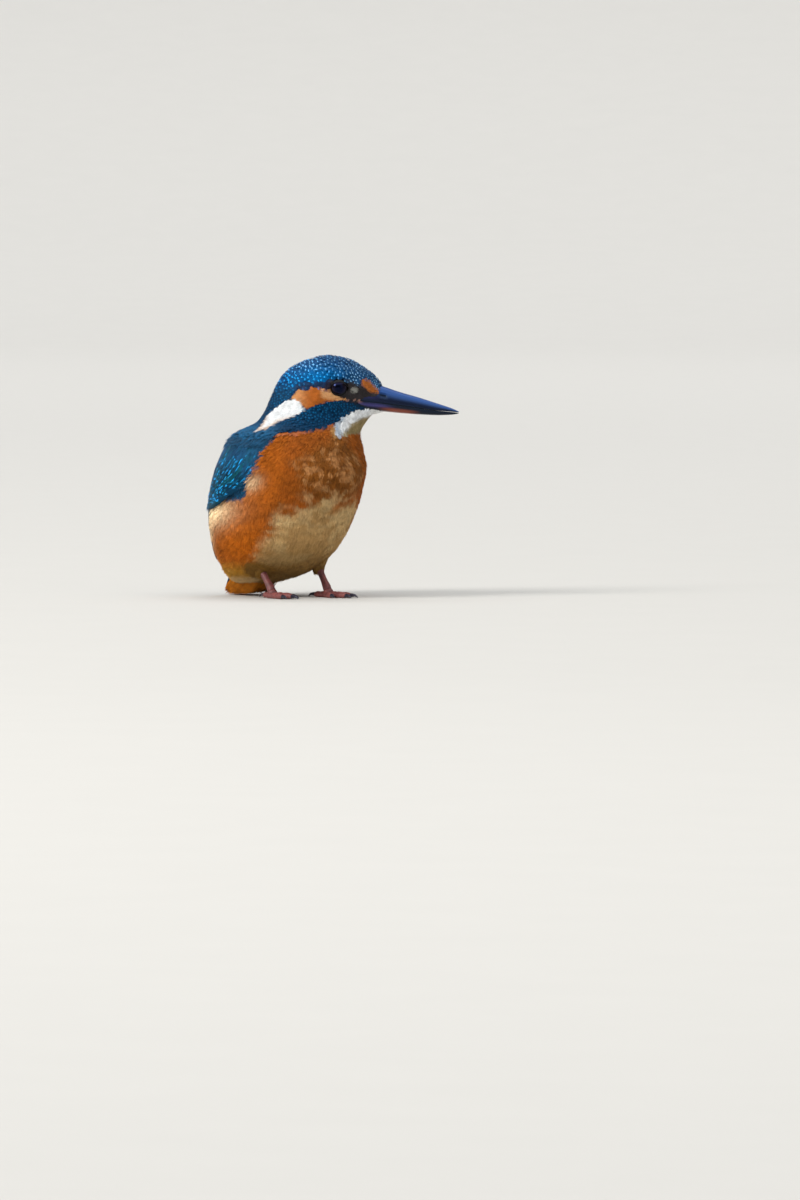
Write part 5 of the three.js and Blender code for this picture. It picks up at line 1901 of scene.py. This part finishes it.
class KINGFISHER_OT_eyes(bpy.types.Operator):
    """Make the eyes and the bare rims of their lids"""

    bl_idname = "kingfisher.eyes"
    bl_label = "Eyes"

    def around(self, side, count):
        """The middle of an eye, the way that it looks, and a ring of ways out from that."""
        turn = round_steps(count)
        axis = unit(left_of(HEAD_HEADING + side * 10) * side)
        return EYES[side], axis, spokes(axis, [0, 0, 1.0], turn), turn

    def ball(self, hand, side, horn, material):
        radius, rings, sides = EYE["radius"], BALL["rings"], BALL["sides"]
        middle, axis, ring, _ = self.around(side, sides)
        polar = np.linspace(BALL["first"], math.pi - BALL["first"], rings)
        high, wide = radius * np.cos(polar), radius * np.sin(polar)
        points = middle + axis * high[:, None, None] + ring[None] * wide[:, None, None]
        made = tube_object(f"eyeball_{hand}", points, material)
        out = np.where(high > 0, wide, radius)
        pupil = horn.pupil_radius / MM
        tones = paint(plain(horn.iris, rings), smooth(pupil + 0.25, pupil - 0.25, out), tuple(horn.pupil))
        paint_points(made, "Iris", tube_points(np.repeat(tones[:, None], sides, axis=1)))
        return made

    def rim(self, hand, side, horn, material):
        """An almond-shaped opening, from which the lids slope down into the feathers."""
        steps, sides = LIDS["steps"], LIDS["sides"]
        middle, axis, ring, turn = self.around(side, steps)
        tall = np.where(np.sin(turn) > 0, LIDS["upper"], LIDS["lower"])
        opening = 1 / np.hypot(np.cos(turn) / LIDS["long"], np.sin(turn) / tall)
        opening = opening + 0.2 * np.abs(np.cos(turn)) ** 10
        fold = round_steps(sides)
        share = 0.5 * (1 + np.cos(fold))[None]
        out = mix(opening[:, None], LIDS["edge"] + horn.lid_width / MM, share)
        rim = np.sqrt(EYE["radius"] ** 2 - opening ** 2)[:, None]
        high = mix(rim + 0.05, LIDS["end_high"], share ** 1.3) + 0.2 * np.sin(fold)[None]
        points = middle + ring[:, None] * out[..., None] + axis * high[..., None]
        faces = []
        for i in range(steps):
            a, b = i * sides, (i + 1) % steps * sides
            faces += [(a + j, a + (j + 1) % sides, b + (j + 1) % sides, b + j) for j in range(sides)]
        loops, starts = face_runs(faces)
        return mesh_object(f"eyelids_{hand}", points.reshape(-1, 3), loops, starts, material)

    def execute(self, context):
        horn = context.scene.kingfisher_horn
        ball_material, rim_material = eye_material(), lid_material(horn.lid)
        for hand, side in SIDES.items():
            finish_piece(self.ball(hand, side, horn, ball_material), "eye_gloss", f"eye_{hand}")
            finish_piece(self.rim(hand, side, horn, rim_material), "eye_gloss")
        return {"FINISHED"}


# The inputs of the scutes' tree: name, kind and value.
SCUTE_INPUTS = (
    ("Paths", "Geometry", None),
    ("Pitch", "Float", 0.00075),
    ("Overlap", "Float", 0.72),
    ("Thickness", "Float", 0.00026),
    ("Material", "Material", None),
)


def scute_tree():
    """Scutes in rows: each path is cut to even steps, and a flat rounded plate is laid on every step.

    A path's points carry Front, the way its plates face, Width, their half-width in metres, and Foot, their
    colour.
    """
    tree = bpy.data.node_groups.new("scutes", "GeometryNodeTree")
    sockets = {}
    for name, kind, value in SCUTE_INPUTS:
        sockets[name] = tree.interface.new_socket(name, in_out="INPUT", socket_type=f"NodeSocket{kind}")
        if value is not None:
            sockets[name].default_value = value
    tree.interface.new_socket("Scutes", in_out="OUTPUT", socket_type="NodeSocketGeometry")
    given = tree.nodes.new("NodeGroupInput").outputs
    add = partial(add_node, tree)
    path = add("GeometryNodeMeshToCurve", {"Mesh": given["Paths"]})
    even = add("GeometryNodeResampleCurve", {"Curve": path, "Length": given["Pitch"]}, mode="LENGTH")
    tangent = add("GeometryNodeInputTangent")
    front = add("GeometryNodeInputNamedAttribute", {"Name": "Front"}, data_type="FLOAT_VECTOR")
    width = add("GeometryNodeInputNamedAttribute", {"Name": "Width"}, data_type="FLOAT")
    facing = add("FunctionNodeAlignRotationToVector", {"Vector": front}, axis="Z")
    turned = {"Rotation": facing, "Vector": tangent}
    turned = add("FunctionNodeAlignRotationToVector", turned, axis="X", pivot_axis="Z")
    length = add("ShaderNodeMath", {0: given["Pitch"], 1: given["Overlap"]}, operation="MULTIPLY")
    size = add("ShaderNodeCombineXYZ", {0: length, 1: width, 2: given["Thickness"]})
    plate = add("GeometryNodeMeshUVSphere", {"Segments": 14, "Rings": 8, "Radius": 1.0})
    laid = {"Points": even, "Instance": plate, "Rotation": turned, "Scale": size}
    laid = add("GeometryNodeInstanceOnPoints", laid)
    whole = add("GeometryNodeRealizeInstances", {0: laid})
    rounded = add("GeometryNodeSetShadeSmooth", {0: whole})
    dressed = add("GeometryNodeSetMaterial", {"Geometry": rounded, "Material": given["Material"]})
    add("NodeGroupOutput", {"Scutes": dressed})
    return tree, sockets


class KINGFISHER_OT_legs(bpy.types.Operator):
    """Make the short legs, the toes and the claws"""

    bl_idname = "kingfisher.legs"
    bl_label = "Legs and feet"

    def scaly(self, places, radii, sides, pitch, height, squash=1.0):
        """A limb whose plates step along it, each a little proud of the next."""
        length = np.concatenate([[0], np.cumsum(np.linalg.norm(np.diff(places, axis=0), axis=1))])
        phase = (length / pitch) % 1
        step = height * (1 - phase) ** 0.6 * smooth(0, 0.12, phase)
        return limb_rings(places, np.asarray(radii) + step, sides, squash)

    def foot_part(self, name, rings, horn, material, dark):
        """One part of the leg or foot, kept over the floor, and darker in patches."""
        rings[..., 2] = np.maximum(rings[..., 2], FLOOR_GAP)
        made = tube_object(name, rings, material)
        points = tube_points(rings)
        share = np.clip(noise(points, 1.6, 9) * 0.5 + dark, 0, 1)
        paint_points(made, "Foot", paint(plain(horn.leg, len(points)), share, tuple(horn.leg_dark)))
        return made

    def scute_paths(self, hand):
        """Lines down the front of the leg and along the top of each toe: places, facing and half-widths."""
        heel, palm = leg_place(hand, LEGS[hand]["heel"]), leg_place(hand, LEGS[hand]["palm"])
        share = np.linspace(0.04, 0.9, 30)
        shaft = unit(palm - heel)
        front = unit(ahead(BODY_HEADING) - shaft * dot(ahead(BODY_HEADING), shaft))
        radius = curve(TARSUS["radii"])(share)
        line = mix(heel, palm, share[:, None]) + front * (radius * 0.93)[:, None]
        yield line, front + 0.3 * shaft + 0 * line, 0.72 * radius
        for toe in TOES.values():
            far = np.linspace(0.08, 0.93, 30)
            radius = toe["radius"] * curve(TOE_PADS)(far)
            line = toe_place(hand, toe, far * toe["length"], toe["radius"] * TOE_AXIS + 0.95 * radius)
            along = unit(line[-1] - line[0])
            yield line, np.array([0, 0, 1.0]) + 0.3 * along + 0 * line, 0.66 * radius

    def scutes(self, hand, horn, material):
        """The plates of one leg and its toes."""
        lines, facing, widths = zip(*self.scute_paths(hand))
        starts = np.cumsum([0] + [len(line) for line in lines])
        edges = [(k, k + 1) for a, b in zip(starts[:-1], starts[1:]) for k in range(a, b - 1)]
        points = np.concatenate(lines)
        paths = new_object(f"scute_paths_{hand}", bpy.data.meshes.new(f"scute_paths_{hand}"))
        paths.data.from_pydata(to_scene(points).tolist(), edges, [])
        dark = 0.5 * noise(points, 1.2, 23)
        paint_points(paths, "Foot", paint(plain(horn.leg, len(points)), dark, tuple(horn.leg_dark)))
        give_numbers(paths, "Width", np.concatenate(widths) * MM)
        front = paths.data.attributes.new("Front", "FLOAT_VECTOR", "POINT")
        front.data.foreach_set("vector", unit(np.concatenate(facing)).astype(np.float32).ravel())
        rows = paths.modifiers.new("scutes", "NODES")
        tree, sockets = scute_tree()
        rows.node_group = tree
        for name, _, value in SCUTE_INPUTS[1:-1]:
            rows[sockets[name].identifier] = value
        rows[sockets["Material"].identifier] = material
        return evaluated_copy(paths, f"scutes_{hand}")

    def tarsus(self, hand, horn, material):
        heel, palm = leg_place(hand, LEGS[hand]["heel"]), leg_place(hand, LEGS[hand]["palm"])
        share = np.linspace(-TARSUS["sunk"], 1.0, 70)
        radii = curve(TARSUS["radii"])(np.clip(share, 0, 1))
        rings = self.scaly(mix(heel, palm, share[:, None]), radii, 28, 0.95, 0.09)
        return self.foot_part(f"tarsus_{hand}", rings, horn, material, 0.25)

    def toe(self, hand, name, horn, material):
        toe = TOES[name]
        far = np.linspace(0, 1, 64)
        line = toe_place(hand, toe, far * toe["length"], toe["radius"] * TOE_AXIS + 0 * far)
        rings = self.scaly(line, toe["radius"] * curve(TOE_PADS)(far), 24, 0.72, 0.08)
        return self.foot_part(f"toe_{hand}_{name}", rings, horn, material, 0.0)

    def palm(self, hand, horn, material):
        """The ball of the foot, which joins leg and toes."""
        forward, out, _ = LEGS[hand]["palm"]
        middle = on_body(forward + PALM["ahead"], SIDES[hand] * out, PALM["z"])
        polar = np.linspace(0.1, math.pi - 0.1, 20)
        line = middle + np.array([0, 0, 1.0]) * (PALM["radius"] * 0.98 * np.cos(polar))[:, None]
        rings = limb_rings(line, PALM["radius"] * np.sin(polar), 32)
        return self.foot_part(f"palm_{hand}", rings, horn, material, 0.1)

    def claw(self, hand, name, horn, material):
        toe = TOES[name]
        far = np.linspace(0, 1, CLAW["rings"])
        # The claw starts inside the toe's end, where it is a little narrower.
        root = toe["length"] - CLAW["sunk"]
        length = CLAW["length"] + CLAW["start"] + CLAW["sunk"]
        size, z = (arc(far) for arc in curves(CLAW_ARC))
        size = np.where(far < 0.1, size * 0.96, size)
        line = toe_place(hand, toe, root + far * length, z)
        rings = limb_rings(line, CLAW["radius"] * size, CLAW["sides"], 1.15)
        rings[..., 2] = np.maximum(rings[..., 2], FLOOR_GAP)
        made = tube_object(f"nail_{hand}_{name}", rings, material)
        paint_points(made, "Horn", plain(horn.claw, len(made.data.vertices)))
        give_grain(made, far, np.linspace(0, 1, CLAW["sides"]))
        return made

    def join(self, parts, name):
        with bpy.context.temp_override(active_object=parts[0], selected_editable_objects=parts):
            bpy.ops.object.join()
        parts[0].name = name
        parts[0].data.name = name
        return parts[0]

    def execute(self, context):
        horn = context.scene.kingfisher_horn
        skin = foot_material()
        nail = horn_material("claw_keratin", 0.35, 0.1, (0.8, 0.8, 1.0))
        for hand in SIDES:
            finish_piece(self.scutes(hand, horn, skin), "leg_skin")
            finish_piece(self.tarsus(hand, horn, skin), "leg_skin", f"leg_{hand}")
            parts = [self.toe(hand, name, horn, skin) for name in TOES] + [self.palm(hand, horn, skin)]
            finish_piece(self.join(parts, f"toes_{hand}"), "leg_skin", f"foot_{hand}")
            claws = self.join([self.claw(hand, name, horn, nail) for name in TOES], f"claws_{hand}")
            finish_piece(claws, "claw_horn", *[f"claw_{hand}_{name}" for name in TOES])
        return {"FINISHED"}


class KINGFISHER_PT_panel(bpy.types.Panel):
    """Settings and steps of the kingfisher"""

    bl_label = "Kingfisher"
    bl_idname = "KINGFISHER_PT_panel"
    bl_space_type = "VIEW_3D"
    bl_region_type = "UI"
    bl_category = "Kingfisher"

    def draw(self, context):
        scene = context.scene
        for group in (scene.kingfisher_colours, scene.kingfisher_horn, scene.kingfisher_stage):
            box = self.layout.box()
            for name in group.__annotations__:
                box.prop(group, name)
        for step in STEPS:
            self.layout.operator(step.bl_idname)


GROUPS = {
    "kingfisher_colours": PlumageColours,
    "kingfisher_horn": HornSettings,
    "kingfisher_stage": StageSettings,
}
STEPS = (
    KINGFISHER_OT_stage,
    KINGFISHER_OT_skin,
    KINGFISHER_OT_coat,
    KINGFISHER_OT_wings,
    KINGFISHER_OT_tail,
    KINGFISHER_OT_bill,
    KINGFISHER_OT_eyes,
    KINGFISHER_OT_legs,
)


def register():
    for group in (*GROUPS.values(), *STEPS, KINGFISHER_PT_panel):
        bpy.utils.register_class(group)
    for name, group in GROUPS.items():
        setattr(bpy.types.Scene, name, bpy.props.PointerProperty(type=group))


def unregister():
    for name in GROUPS:
        delattr(bpy.types.Scene, name)
    for group in reversed((*GROUPS.values(), *STEPS, KINGFISHER_PT_panel)):
        bpy.utils.unregister_class(group)


def main():
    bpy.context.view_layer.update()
    register()
    for step in STEPS:
        group, _, name = step.bl_idname.partition(".")
        getattr(getattr(bpy.ops, group), name)()


if __name__ == "__main__":
    main()
